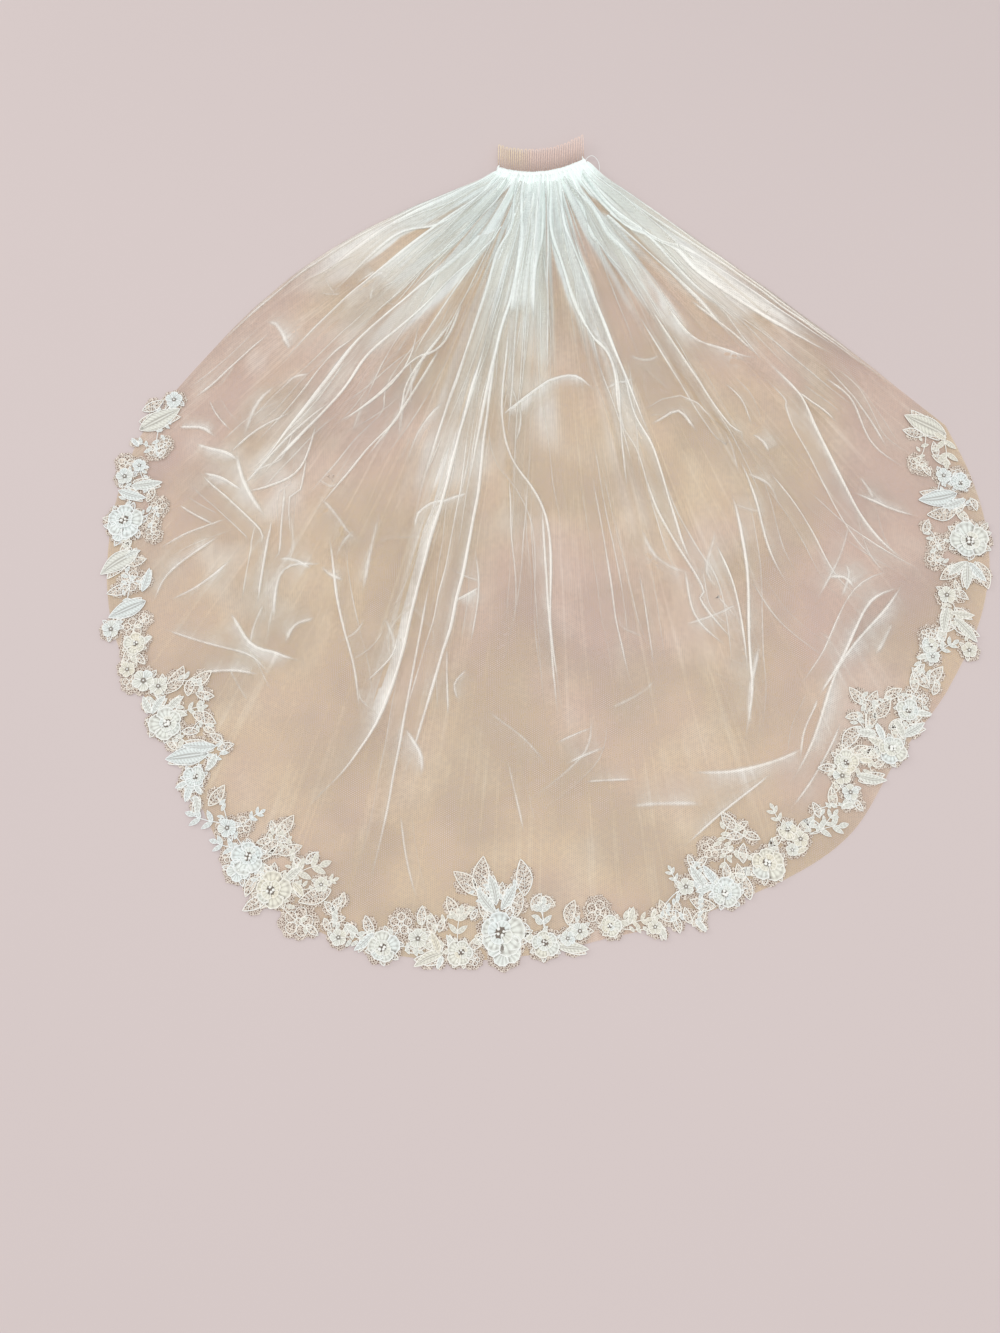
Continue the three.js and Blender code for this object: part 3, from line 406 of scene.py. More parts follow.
# %% Broad folds
FOLDS = [
    # from, to, start, end, height, width
    (0.118, 0.040, 0.00, 0.84, 6.5, 0.012), (0.122, 0.095, 0.05, 0.58, 5.0, 0.010),
    (0.212, 0.095, 0.02, 0.74, 6.5, 0.011), (0.232, 0.158, 0.16, 0.70, 5.5, 0.011),
    (0.228, 0.160, 0.00, 0.28, 7.0, 0.020), (0.270, 0.243, 0.06, 0.42, 5.0, 0.012),
    (0.300, 0.196, 0.18, 0.58, 4.5, 0.010), (0.290, 0.236, 0.26, 0.68, 4.5, 0.011),
    (0.135, 0.165, 0.42, 0.64, 3.5, 0.010), (0.295, 0.352, 0.00, 0.64, 7.5, 0.012),
    (0.370, 0.376, 0.10, 0.93, 8.5, 0.011), (0.392, 0.402, 0.40, 0.97, 5.5, 0.010),
    (0.400, 0.415, 0.10, 0.86, 6.0, 0.011), (0.272, 0.360, 0.58, 0.80, 3.5, 0.010),
    (0.462, 0.474, 0.00, 0.24, 8.0, 0.022), (0.525, 0.517, 0.00, 0.32, 7.0, 0.012),
    (0.412, 0.532, 0.18, 0.80, 6.5, 0.011), (0.600, 0.640, 0.00, 0.74, 7.0, 0.012),
    (0.625, 0.684, 0.06, 0.70, 6.0, 0.011), (0.708, 0.676, 0.56, 0.86, 4.5, 0.010),
    (0.698, 0.782, 0.00, 0.32, 7.5, 0.014), (0.722, 0.800, 0.10, 0.60, 6.0, 0.011),
    (0.800, 0.905, 0.08, 0.72, 6.0, 0.012), (0.830, 0.920, 0.06, 0.48, 6.0, 0.011),
    (0.950, 0.922, 0.56, 0.82, 3.5, 0.010), (0.935, 0.986, 0.00, 0.90, 8.0, 0.013),
    (0.800, 0.720, 0.82, 0.92, 3.5, 0.016), (0.480, 0.496, 0.74, 0.90, 3.0, 0.010),
]
GATHERS, GATHER_HEIGHT, GATHER_REACH = 21, 4.2, 0.34


def smooth_step(low, high, value):
    """0 below low, 1 above high, and an eased run between them."""
    share = np.clip((value - low) / (high - low), 0, 1)
    return share * share * (3 - 2 * share)


def fold_height(across, down):
    """The height of the broad folds and of the gathers that start at the comb."""
    beat = (1 + np.cos(2 * np.pi * GATHERS * across)) / 2
    uneven = 1 + 0.3 * np.sin(17 * across) * np.cos(41 * across)
    height = GATHER_HEIGHT * beat * uneven * (1 - smooth_step(0, GATHER_REACH, down))
    for start_at, end_at, start, end, rise, width in FOLDS:
        share = (down - start) / (end - start)
        middle = start_at + (end_at - start_at) * np.clip(share, 0, 1)
        ends = smooth_step(-0.06, 0.14, share) * (1 - smooth_step(0.72, 1.06, share))
        height = height + rise * ends * np.exp(-(((across - middle) / width) ** 2))
    return height


print("broad folds:", len(FOLDS))

# %% [markdown]
# Sewn lace holds the net flat, so the folds have to fade out before they reach it. That could be
# painted on the mesh by hand as a weight. Here it is worked out from the lace table, so that the
# net follows wherever a motif is moved.

# %% Where the net is free to fold
HELD_WITHIN, FREE_BEYOND = 24, 66
FAR_AWAY = 1e3


def lace_spots():
    """A round spot, as x, y and radius, for each item of the lace."""
    spots = []
    for motif in MOTIFS:
        x, y = motif["x"], motif["y"]
        spots.append((x, y, motif["flower"]))
        spots += [(x + a, y + b, length / 2) for a, b, _, length in motif["leaves"] + motif["nets"]]
        spots += [(x + a, y + b, radius) for a, b, radius in motif["blooms"] + motif["net_blooms"]]
        for a, b, turn, length in motif["sprigs"]:
            way, half = math.radians(turn), length / 2
            spots.append((x + a + math.cos(way) * half, y + b + math.sin(way) * half, half))
    return spots


def freedom_to_fold(x, y):
    """0 at the lace, 1 where the net lies free of it."""
    clear = np.full(np.shape(x), FAR_AWAY)
    for spot_x, spot_y, radius in lace_spots():
        clear = np.minimum(clear, np.hypot(x - spot_x, y - spot_y) - radius)
    return smooth_step(HELD_WITHIN, FREE_BEYOND, clear)


print("spots of lace that hold the net:", len(lace_spots()))

# %% [markdown]
# Between the broad folds the net is never quite flat. Soft waves a hand's width apart run through
# it, fine pleats run down from the gathers, and at the comb it climbs to the top of the band. These
# could be sculpted. As functions they can be asked for the height at any point, which the creases
# further down need, since they are laid on top.

# %% Height of the net
NET_LIFT, LOWEST_NET = 0.6, 0.35
WAVE_HEIGHT, PLEAT_HEIGHT = 0.55, 1.1
PLEAT_COUNT, PLEAT_REACH, PLEAT_SEED = 120, 0.24, 11
BAND_LIFT, LIFT_RUN = 6.4, 15.0


def soft_waves(x, y, seed, count, longest, shortest):
    """Waves of many directions and lengths, laid over each other."""
    dice = np.random.default_rng(seed)
    result = np.zeros_like(x)
    for _ in range(count):
        angle, length = dice.uniform(0, 2 * np.pi), dice.uniform(shortest, longest)
        phase = dice.uniform(0, 2 * np.pi)
        result += np.sin(2 * np.pi * (x * math.cos(angle) + y * math.sin(angle)) / length + phase)
    return result / math.sqrt(count)


def fine_pleats(across, down):
    """Fine pleats that run down from the gathers, uneven in spacing, width and length."""
    dice = np.random.default_rng(PLEAT_SEED)
    result = np.zeros_like(across)
    for place in np.sort(dice.uniform(0.0, 1.0, PLEAT_COUNT)):
        width = dice.uniform(0.002, 0.007)
        drift = dice.uniform(-0.03, 0.03)
        reach = PLEAT_REACH * dice.uniform(0.35, 1.25)
        strength = dice.uniform(0.3, 1.0)
        middle = place + drift * down
        result += strength * np.exp(-(((across - middle) / width) ** 2)) * np.exp(-((down / reach) ** 2))
    return result


def near_band(across, down):
    """1 where the net is sewn to the band, falling to 0 a finger's width below it."""
    x, y = on_fan(across, down)
    top_x, top_y = top_of_net(across)
    return np.exp(-((np.hypot(x - top_x, y - top_y) / LIFT_RUN) ** 2))


def net_height(across, down):
    """The height of the net, and how strong the fine pleats are there."""
    x, y = on_fan(across, down)
    free = freedom_to_fold(x, y)
    height = NET_LIFT + fold_height(across, down) * free
    waves = soft_waves(x, y, seed=5, count=14, longest=150, shortest=45)
    height = height + WAVE_HEIGHT * (1 + waves) * free
    pleats = fine_pleats(across, down)
    fading = 1 - smooth_step(0.02, 0.30, down)
    height = height + PLEAT_HEIGHT * pleats * fading * smooth_step(0, 0.02, down)
    return np.maximum(height, LOWEST_NET) + BAND_LIFT * near_band(across, down), pleats


some_heights, _ = net_height(np.array([0.5, 0.5]), np.array([0.0, 0.5]))
print("net height at the comb and in the middle:", some_heights.round(1), "mm")

# %% [markdown]
# The net is laid in a grid of rows and columns. At the top it is sewn over the band, so the first
# rows climb the band's back and cross its crown. They could be a piece of their own, but the real
# net isn't cut there. The edge is a little ragged, as a gathered edge is, and here the whole width
# of the cut lies in many layers.

# %% Collar over the band
COLLAR_PLACES = [(3.9, 7.6), (3.0, 8.8), (1.2, 9.4), (-1.2, 9.4), (-2.9, 8.9)]
COLLAR_LAYERS, RAGGED_OUT = 9.0, 3


def points_at(x, y, z):
    """Points from their x, y and z, each a grid, a row or one number."""
    return np.stack(np.broadcast_arrays(x, y, z), axis=-1)


def collar(across, pleats):
    """The rows of net that lie over the band, with an uneven gathered edge."""
    ragged = 0.5 * np.sin(2 * np.pi * 47 * across + 3 * np.sin(9 * across)) * (1 + np.sin(31 * across))
    rows = []
    for out, height in COLLAR_PLACES:
        x, y = beside_spine(2 * across - 1, out + (ragged if out > RAGGED_OUT else 0))
        rows.append(points_at(x, y, height + 0.45 * pleats))
    whole = np.ones((len(rows), len(across)))
    return np.stack(rows), COLLAR_LAYERS * whole, whole, whole, points_at(across, 0 * whole, 0 * whole)


print("rows of the collar:", len(COLLAR_PLACES))

# %% [markdown]
# Seen from above, the fan isn't evenly white. Between two bundles of folds a single clear layer
# shows, and along the two free edges the net looks pinker. Both could be painted on the mesh. Short
# tables and formulas are used, because they can be read, and moved by a hundredth.

# %% Clear gaps and pink rims
# Rows of (down, across, half width) down the middle of each clear gap between two bundles of folds.
CLEAR_GAPS = [
    [(0.05, 0.075, 0.010), (0.26, 0.055, 0.012), (0.45, 0.070, 0.018)],
    [(0.03, 0.220, 0.012), (0.12, 0.205, 0.018), (0.21, 0.165, 0.018), (0.32, 0.150, 0.014)],
    [(0.03, 0.275, 0.012), (0.09, 0.310, 0.022), (0.19, 0.290, 0.040), (0.28, 0.270, 0.055),
     (0.45, 0.260, 0.070)],
    [(0.05, 0.520, 0.012), (0.12, 0.530, 0.024), (0.20, 0.550, 0.036), (0.32, 0.585, 0.050)],
    [(0.04, 0.670, 0.020), (0.10, 0.680, 0.034), (0.18, 0.710, 0.040), (0.40, 0.745, 0.060)],
    [(0.03, 0.820, 0.016), (0.10, 0.850, 0.018), (0.18, 0.860, 0.026), (0.45, 0.860, 0.040)],
]


def clear_gap(across, down):
    """1 where a single clear layer shows between two bundles of folds."""
    total = np.zeros_like(across)
    for gap in CLEAR_GAPS:
        places, middles, widths = np.array(gap).T
        middle, width = np.interp(down, places, middles), np.interp(down, places, widths)
        inside = np.exp(-(((across - middle) / (1.1 * width)) ** 6))
        total = np.maximum(total, inside * (1 - smooth_step(places[-1], places[-1] + 0.2, down)))
    return total * smooth_step(0.008, 0.035, down)


def rim_share(across, down):
    """1 along the two free edges, where the net looks pinker, and wider low down."""
    wider = 0.12 * smooth_step(0.55, 0.80, down)
    near_edge = np.exp(-((across / (0.05 + wider)) ** 2)) + np.exp(-(((1 - across) / (0.03 + wider)) ** 2))
    return near_edge * smooth_step(0.16, 0.34, down) * (1 - smooth_step(0.90, 0.98, down))


print("clear gaps:", len(CLEAR_GAPS))

# %% [markdown]
# Near the comb the whole width of the cut is pushed into a tenth of its length, so many layers lie
# on each other and the net turns white there. Each layer could be a sheet of its own, but a stack
# of them would cut through one another. Instead the grid is one sheet, and how many layers lie at a
# point is stored on it, for the finish to make the net denser.

# %% Ground of the net
NET_COLUMNS, NET_ROWS = 350, 126
CUT_WIDTH, MOST_GATHERED = 1370, 9


def grid_faces(rows, columns, first=0, round_trip=False):
    """Faces of a grid of points, rows by columns, closed sideways if it goes round."""
    index = first + np.arange(rows * columns).reshape(rows, columns)
    following = np.roll(index, -1, axis=1) if round_trip else index[:, 1:]
    index = index if round_trip else index[:, :-1]
    return np.stack([index[:-1], index[1:], following[1:], following[:-1]], axis=-1).reshape(-1, 4)


def tilt(height, x, y):
    """How much longer the net is than the table under it, from its slope."""
    def slope(axis):
        run = np.hypot(np.gradient(x, axis=axis), np.gradient(y, axis=axis))
        return np.gradient(height, axis=axis) / np.maximum(run, 1e-6)
    return np.sqrt(1 + slope(0) ** 2 + slope(1) ** 2)


def more_layers(across, down, x, y, pleats):
    """How many layers the gathers and the crumpled net on the left add at each point."""
    row_width = np.hypot(np.diff(x, axis=1), np.diff(y, axis=1)).sum(axis=1)[:, None]
    gathered = np.clip(CUT_WIDTH / row_width, 1, MOST_GATHERED) - 1
    sides = 1 + 0.9 * np.abs(2 * across - 1) ** 1.5 + 0.9 * (1 - across) ** 4
    clouds = soft_waves(x, y, seed=29, count=16, longest=260, shortest=60)
    cloudy = smooth_step(-0.35, 0.9, clouds)
    more = 0.14 * gathered * (0.4 + 1.6 * pleats) + 0.6 * pleats * (1 - smooth_step(0.0, 0.5, down))
    more = more + sides * (0.35 + 0.65 * cloudy) * (1 - smooth_step(0.12, 0.62, down)) + 0.18 * cloudy
    crumpled = np.exp(-(((across - 0.16) / 0.13) ** 2)) * smooth_step(0.42, 0.60, down)
    crumpled = crumpled * (1 - smooth_step(0.78, 0.92, down))
    ruffles = soft_waves(x, y, seed=31, count=14, longest=130, shortest=35)
    ruffled = smooth_step(-0.5, 0.8, ruffles)
    return more + 0.45 * crumpled * ruffled


def net_ground():
    """Grids of the net's points and of the values that the finish reads, collar first."""
    across, down = np.meshgrid(np.linspace(0, 1, NET_COLUMNS + 1), np.linspace(0, 1, NET_ROWS + 1))
    x, y = on_fan(across, down)
    height, pleats = net_height(across, down)
    closed = 1 - 0.93 * clear_gap(across, down)
    more = more_layers(across, down, x, y, pleats) * closed
    layers = tilt(height, x, y) + more + 5.0 * near_band(across, down) ** 1.6
    white = smooth_step(1.0, 2.2, layers)
    bright = smooth_step(2.4, 6.0, layers)
    cloth = points_at(across, down, rim_share(across, down))
    fields = [points_at(x, y, height), layers, white, bright, cloth]
    return [np.concatenate([top, below]) for top, below in zip(collar(across[0], pleats[0]), fields)]


print("grid of the net:", NET_COLUMNS, "by", NET_ROWS)

# %% [markdown]
# On the ground lie the creases, where the net is pinched and lies folded over on itself. They could
# be sculpted into the grid, but a sharp line needs points far closer than the grid has, so each
# crease is a thin strip of its own. A bright line marks the pinch, and beside it a band of doubled
# net runs to a fainter second line, or fades away if the crease is soft. A row holds its path as
# (down, across) places, how many more layers the line and the band hold, the line's half width and
# the band's width in millimetres. A band width below zero lies on the other side.

# %% Creases
CREASES = [
    # path, line, half width, band, band width
    # In the middle
    ([(0.12, 0.27), (0.21, 0.25), (0.31, 0.24), (0.36, 0.245)], 1.4, 1.0, 0.6, 18),
    ([(0.21, 0.29), (0.29, 0.29), (0.36, 0.245), (0.52, 0.20)], 1.9, 1.1, 0.5, -14),
    ([(0.29, 0.29), (0.38, 0.28), (0.52, 0.26)], 1.7, 1.0, 0.5, 14),
    ([(0.21, 0.38), (0.52, 0.38), (0.74, 0.38), (0.90, 0.345)], 3.6, 1.5, 1.0, -20),
    ([(0.56, 0.39), (0.81, 0.40), (0.95, 0.40)], 1.7, 1.1, 0.4, -14),
    ([(0.21, 0.40), (0.43, 0.42), (0.60, 0.42), (0.83, 0.405)], 2.5, 1.2, 0.8, -18),
    ([(0.85, 0.41), (0.90, 0.42), (0.94, 0.43)], 1.0, 1.0, 0.3, 10),
    ([(0.01, 0.545), (0.08, 0.53), (0.16, 0.52), (0.30, 0.515)], 2.2, 0.9, 0.7, -12),
    ([(0.20, 0.42), (0.37, 0.445), (0.48, 0.51), (0.63, 0.515), (0.75, 0.525)], 2.3, 1.0, 0.6, -16),
    ([(0.35, 0.435), (0.32, 0.47), (0.30, 0.52), (0.30, 0.575), (0.33, 0.61)], 2.4, 1.5, 1.2, -18),
    ([(0.78, 0.48), (0.87, 0.495)], 0.9, 1.1, 0.3, 12),
    ([(0.40, 0.685), (0.41, 0.735), (0.46, 0.75)], 1.7, 1.2, 0.8, 18),
    ([(0.82, 0.54), (0.83, 0.58)], 0.9, 1.4, 0.5, 14),
    ([(0.45, 0.505), (0.55, 0.51), (0.75, 0.52)], 2.0, 0.9, 0.5, -12),
    ([(0.58, 0.615), (0.71, 0.61)], 1.1, 0.8, 0.4, 12),
    # Low on the right, in front of the lace
    ([(0.86, 0.85), (0.85, 0.78), (0.87, 0.73), (0.91, 0.68)], 1.5, 1.6, 0.8, 18),
    ([(0.90, 0.745), (0.91, 0.715), (0.93, 0.68)], 1.2, 1.3, 0.4, 14),
    ([(0.88, 0.71), (0.86, 0.655), (0.84, 0.62)], 1.0, 2.0, 0.9, 24),
    ([(0.88, 0.68), (0.90, 0.635), (0.92, 0.605)], 2.0, 1.3, 0.5, -14),
    ([(0.85, 0.735), (0.85, 0.77), (0.83, 0.815), (0.86, 0.845)], 2.2, 1.2, 0.9, 20),
    ([(0.85, 0.735), (0.86, 0.715), (0.89, 0.70)], 1.8, 1.0, 0.5, -12),
    ([(0.62, 0.95), (0.70, 0.94), (0.78, 0.92)], 1.5, 1.1, 0.5, 14),
    # Left: long folds from the comb
    ([(0.29, 0.215), (0.36, 0.24), (0.42, 0.23), (0.52, 0.195)], 1.7, 1.0, 0.5, 16),
    ([(0.23, 0.29), (0.37, 0.26), (0.42, 0.275), (0.50, 0.255), (0.64, 0.235)], 2.0, 1.0, 0.6, -18),
    ([(0.62, 0.265), (0.64, 0.29), (0.70, 0.34), (0.76, 0.365)], 2.2, 1.1, 0.5, 14),
    # Left: crumpled net
    ([(0.78, 0.115), (0.73, 0.16), (0.71, 0.20), (0.73, 0.21)], 1.9, 0.9, 0.6, -16),
    ([(0.77, 0.12), (0.73, 0.14), (0.70, 0.165)], 2.3, 1.6, 0.8, -14),
    ([(0.70, 0.165), (0.66, 0.18), (0.60, 0.195), (0.53, 0.18)], 2.0, 0.9, 0.6, 22),
    ([(0.70, 0.16), (0.60, 0.165), (0.53, 0.17), (0.48, 0.18)], 2.0, 0.8, 0.5, -18),
    ([(0.71, 0.125), (0.64, 0.13), (0.55, 0.15)], 1.3, 0.9, 0.5, 16),
    ([(0.68, 0.23), (0.64, 0.205), (0.62, 0.21), (0.57, 0.19)], 1.2, 0.8, 0.4, 12),
    ([(0.72, 0.225), (0.70, 0.225), (0.63, 0.19)], 1.5, 0.9, 0.5, -12),
    ([(0.78, 0.235), (0.72, 0.215), (0.68, 0.20)], 1.8, 0.9, 0.7, 16),
    ([(0.82, 0.22), (0.82, 0.25), (0.79, 0.275), (0.76, 0.30)], 2.4, 1.8, 1.1, -22),
    ([(0.92, 0.185), (0.86, 0.23), (0.83, 0.255), (0.81, 0.285)], 1.3, 1.5, 0.8, 20),
    ([(0.91, 0.225), (0.87, 0.245), (0.83, 0.27)], 1.1, 1.6, 0.7, 18),
    ([(0.83, 0.125), (0.79, 0.15), (0.77, 0.165)], 1.6, 0.9, 0.6, 12),
    ([(0.88, 0.14), (0.82, 0.15), (0.74, 0.17)], 1.2, 0.9, 0.5, -14),
    ([(0.92, 0.165), (0.87, 0.16), (0.76, 0.175)], 1.2, 1.4, 0.6, 18),
    ([(0.85, 0.06), (0.78, 0.08), (0.74, 0.10)], 1.6, 1.9, 0.7, 12),
    ([(0.79, 0.09), (0.72, 0.12), (0.69, 0.14)], 1.6, 2.0, 0.8, -14),
    ([(0.77, 0.06), (0.72, 0.095), (0.70, 0.11)], 1.3, 0.8, 0.4, 12),
    ([(0.82, 0.045), (0.73, 0.05), (0.61, 0.045)], 1.5, 0.9, 0.5, 14),
    ([(0.89, 0.175), (0.84, 0.185), (0.77, 0.195)], 1.0, 1.4, 0.5, -16),
    # Between the left and the middle
    ([(0.72, 0.36), (0.68, 0.375), (0.65, 0.375)], 1.3, 1.3, 0.7, 18),
    ([(0.59, 0.42), (0.57, 0.44)], 1.2, 1.3, 0.7, -14),
    ([(0.64, 0.44), (0.57, 0.44), (0.52, 0.43)], 1.2, 0.8, 0.4, 10),
    ([(0.65, 0.42), (0.69, 0.425), (0.73, 0.43)], 1.4, 0.8, 0.4, -10),
    # Right: long folds from the comb
    ([(0.29, 0.66), (0.37, 0.64), (0.44, 0.625), (0.49, 0.62)], 1.8, 0.9, 0.6, 16),
    ([(0.30, 0.67), (0.37, 0.665), (0.44, 0.675), (0.56, 0.67), (0.62, 0.675)], 2.3, 1.0, 0.7, -18),
    ([(0.45, 0.65), (0.52, 0.655), (0.63, 0.675), (0.65, 0.67), (0.73, 0.69)], 1.9, 0.9, 0.6, 18),
    ([(0.55, 0.755), (0.61, 0.74), (0.72, 0.70), (0.78, 0.685), (0.84, 0.665)], 2.7, 1.2, 0.6, 14),
    ([(0.59, 0.705), (0.66, 0.705), (0.77, 0.685)], 1.9, 0.9, 0.5, -14),
    ([(0.25, 0.785), (0.33, 0.79), (0.48, 0.795), (0.51, 0.805), (0.53, 0.79)], 2.1, 1.0, 0.8, -22),
    ([(0.44, 0.825), (0.48, 0.83), (0.52, 0.82)], 1.4, 0.8, 0.5, 12),
    ([(0.53, 0.785), (0.60, 0.775), (0.66, 0.76), (0.73, 0.76)], 1.7, 0.9, 0.5, 14),
    ([(0.57, 0.805), (0.66, 0.81), (0.77, 0.805), (0.85, 0.82)], 1.4, 0.8, 0.4, -14),
    ([(0.48, 0.895), (0.56, 0.895), (0.61, 0.88), (0.75, 0.855), (0.86, 0.86)], 2.4, 1.1, 0.8, -20),
    ([(0.56, 0.895), (0.61, 0.90), (0.65, 0.90)], 1.5, 0.9, 0.5, 12),
    ([(0.61, 0.935), (0.68, 0.935), (0.73, 0.915), (0.82, 0.92)], 1.7, 0.9, 0.6, 18),
    ([(0.72, 0.865), (0.79, 0.88), (0.85, 0.895)], 1.4, 1.3, 0.6, 14),
    ([(0.65, 0.83), (0.74, 0.84), (0.88, 0.865)], 1.2, 0.8, 0.4, -14),
    ([(0.28, 0.82), (0.34, 0.825), (0.39, 0.845), (0.47, 0.89)], 1.7, 1.4, 0.8, -20),
    ([(0.31, 0.87), (0.40, 0.885), (0.46, 0.89)], 1.6, 0.9, 0.6, 16),
    ([(0.60, 0.665), (0.66, 0.66), (0.72, 0.68)], 1.2, 0.9, 0.5, 18),
    ([(0.66, 0.725), (0.74, 0.735), (0.85, 0.765)], 0.9, 0.8, 0.4, 14),
    # Along the free edges
    ([(0.03, 0.96), (0.31, 0.985), (0.60, 0.99), (0.84, 0.995)], 1.8, 1.2, 0.8, 10),
    ([(0.01, 0.004), (0.86, 0.004)], 1.3, 0.8, 0.9, -11),
    ([(0.01, 0.996), (0.88, 0.996)], 1.5, 0.8, 1.0, 13),
]
print("creases placed by hand:", len(CREASES))

# %% [markdown]
# A strip is made in two steps. Its path is drawn through the corners of the row as a smooth line,
# and then lines of points are set beside that line at fixed distances. Blender's own curves could
# do the first step, but then the strip wouldn't know how far across and down the fan it lies, which
# the finish and the height both need.

# %% Paths on the fan
STRIP_SPACING, FEWEST_STEPS, STEPS_BETWEEN = 7.5, 9, 24
SMALL_STEP = 1e-4


def cubic_between(a, b, c, d, share):
    """A point between b and c, on the smooth line through a, b, c and d."""
    squared = (2 * a - 5 * b + 4 * c - d) * share**2
    return 0.5 * (2 * b + (c - a) * share + squared + (3 * b - a - 3 * c + d) * share**3)


def smooth_path(corners):
    """Even places down and across on a smooth line through the corners, and its length."""
    corners = np.asarray(corners, float)
    padded = np.vstack([2 * corners[0] - corners[1], corners, 2 * corners[-1] - corners[-2]])
    points = []
    for k in range(1, len(padded) - 2):
        for share in np.linspace(0, 1, STEPS_BETWEEN, endpoint=False):
            points.append(cubic_between(*padded[k - 1 : k + 3], share))
    points = np.array(points + [corners[-1]])
    x, y = on_fan(points[:, 1], points[:, 0])
    along = np.concatenate([[0], np.cumsum(np.hypot(np.diff(x), np.diff(y)))])
    even = np.linspace(0, along[-1], max(FEWEST_STEPS, int(along[-1] / STRIP_SPACING)))
    return np.interp(even, along, points[:, 0]), np.interp(even, along, points[:, 1]), along[-1]


def beside_path(down, across, aside):
    """Places across and down that lie aside of a path, in millimetres."""
    x, y = on_fan(across, down)
    ax, ay = [(b - a) / SMALL_STEP for a, b in zip((x, y), on_fan(across + SMALL_STEP, down))]
    dx, dy = [(b - a) / SMALL_STEP for a, b in zip((x, y), on_fan(across, down + SMALL_STEP))]
    run_x, run_y = np.gradient(x), np.gradient(y)
    length = np.hypot(run_x, run_y)
    nx, ny = -run_y / length, run_x / length
    twist = ax * dy - ay * dx
    step_across, step_down = (nx * dy - ny * dx) / twist, (ax * ny - ay * nx) / twist
    wide_across = across[:, None] + step_across[:, None] * aside
    wide_down = down[:, None] + step_down[:, None] * aside
    return np.clip(wide_across, 0, 1), np.clip(wide_down, 0.002, 0.998)


print("length of the first crease:", round(float(smooth_path(CREASES[0][0])[2])), "mm")

# %% [markdown]
# Across its width, a crease is a few lines of points: six over the pinch and six over the band of
# doubled net. How many layers each line holds is what makes the crease show. A real crease is never
# even, so its side wobbles a little and its strength rises and falls along it.

# %% Strips of doubled net
LINE_STEPS = np.array([-3.2, -1.5, -0.6, 0.0, 0.6, 1.6])
BAND_STEPS = np.array([0.2, 0.5, 0.8, 0.89, 0.94, 1.0])
BAND_SHARES = np.array([0.75, 0.52, 0.52, 0.9, 2.1, 0.0])
LINE_STRENGTH, BAND_FROM, ABOVE_GROUND = 1.25, 1.9, 0.2
# A crease whose line is wider than this is soft, with a finer line and a wider, fuller band.
SOFT_FROM, SOFT_LINE, SOFT_WIDTH, SOFT_BODY = 1.25, 0.66, 1.35, 1.45


def between_knots(share, values):
    """A run through values that stand at even places along a strip."""
    return np.interp(share, np.linspace(0, 1, len(values)), values)


def crease_strip(path, line, half_width, band, band_width, dice):
    """The points of a crease, its layers, and its places across and down."""
    soft = half_width > SOFT_FROM
    line = LINE_STRENGTH * line
    if soft:
        half_width, band_width, band = SOFT_LINE * half_width, SOFT_WIDTH * band_width, SOFT_BODY * band
    down, across, length = smooth_path(path)
    share = np.linspace(0, 1, len(down))
    wobble = between_knots(share, dice.normal(0, 0.45, max(4, int(length / 28))))
    reach = np.abs(band_width) * (0.35 + 0.65 * smooth_step(-0.15, 0.42, down)[:, None])
    places = np.hstack([LINE_STEPS * half_width + 0 * reach, BAND_FROM * half_width + BAND_STEPS * reach])
    wide_across, wide_down = beside_path(down, across, np.sign(band_width) * places + wobble[:, None])
    x, y = on_fan(wide_across, wide_down)
    uneven = between_knots(share, dice.uniform(0.55, 1.25, max(4, int(length / 22))))
    ends = (smooth_step(0, 0.18, share) * (1 - smooth_step(0.72, 1.0, share)) * uneven)[:, None]
    pinch = np.exp(-(LINE_STEPS / 0.8) ** 2)
    beside = smooth_step(-3.2, 0.2, LINE_STEPS)
    fading = (1 - BAND_STEPS) ** 1.3 if soft else BAND_SHARES
    layers = ends * np.hstack([line * pinch + band * beside, band * fading])
    layers[:, 0] = 0
    ground, _ = net_height(wide_across, wide_down)
    rise = np.hstack([1.6 * pinch * min(1.5, line / 1.6) + 0.3 * beside, 0.3 * fading]) * ends
    return points_at(x, y, ground + ABOVE_GROUND + rise), layers, points_at(wide_across, wide_down, 0)


print("lines of points in a crease:", len(LINE_STEPS) + len(BAND_STEPS))

# %% [markdown]
# From the comb, the folds run out in bundles: wedges of net that lies threefold between two pinched
# edges, with a single clear layer between one bundle and the next. A bundle could be many creases
# side by side, but it reads as one form, so it is one strip between two paths. Its row holds both
# edges, the layers in the edge lines and between them, and the share of its length after which it
# fades.

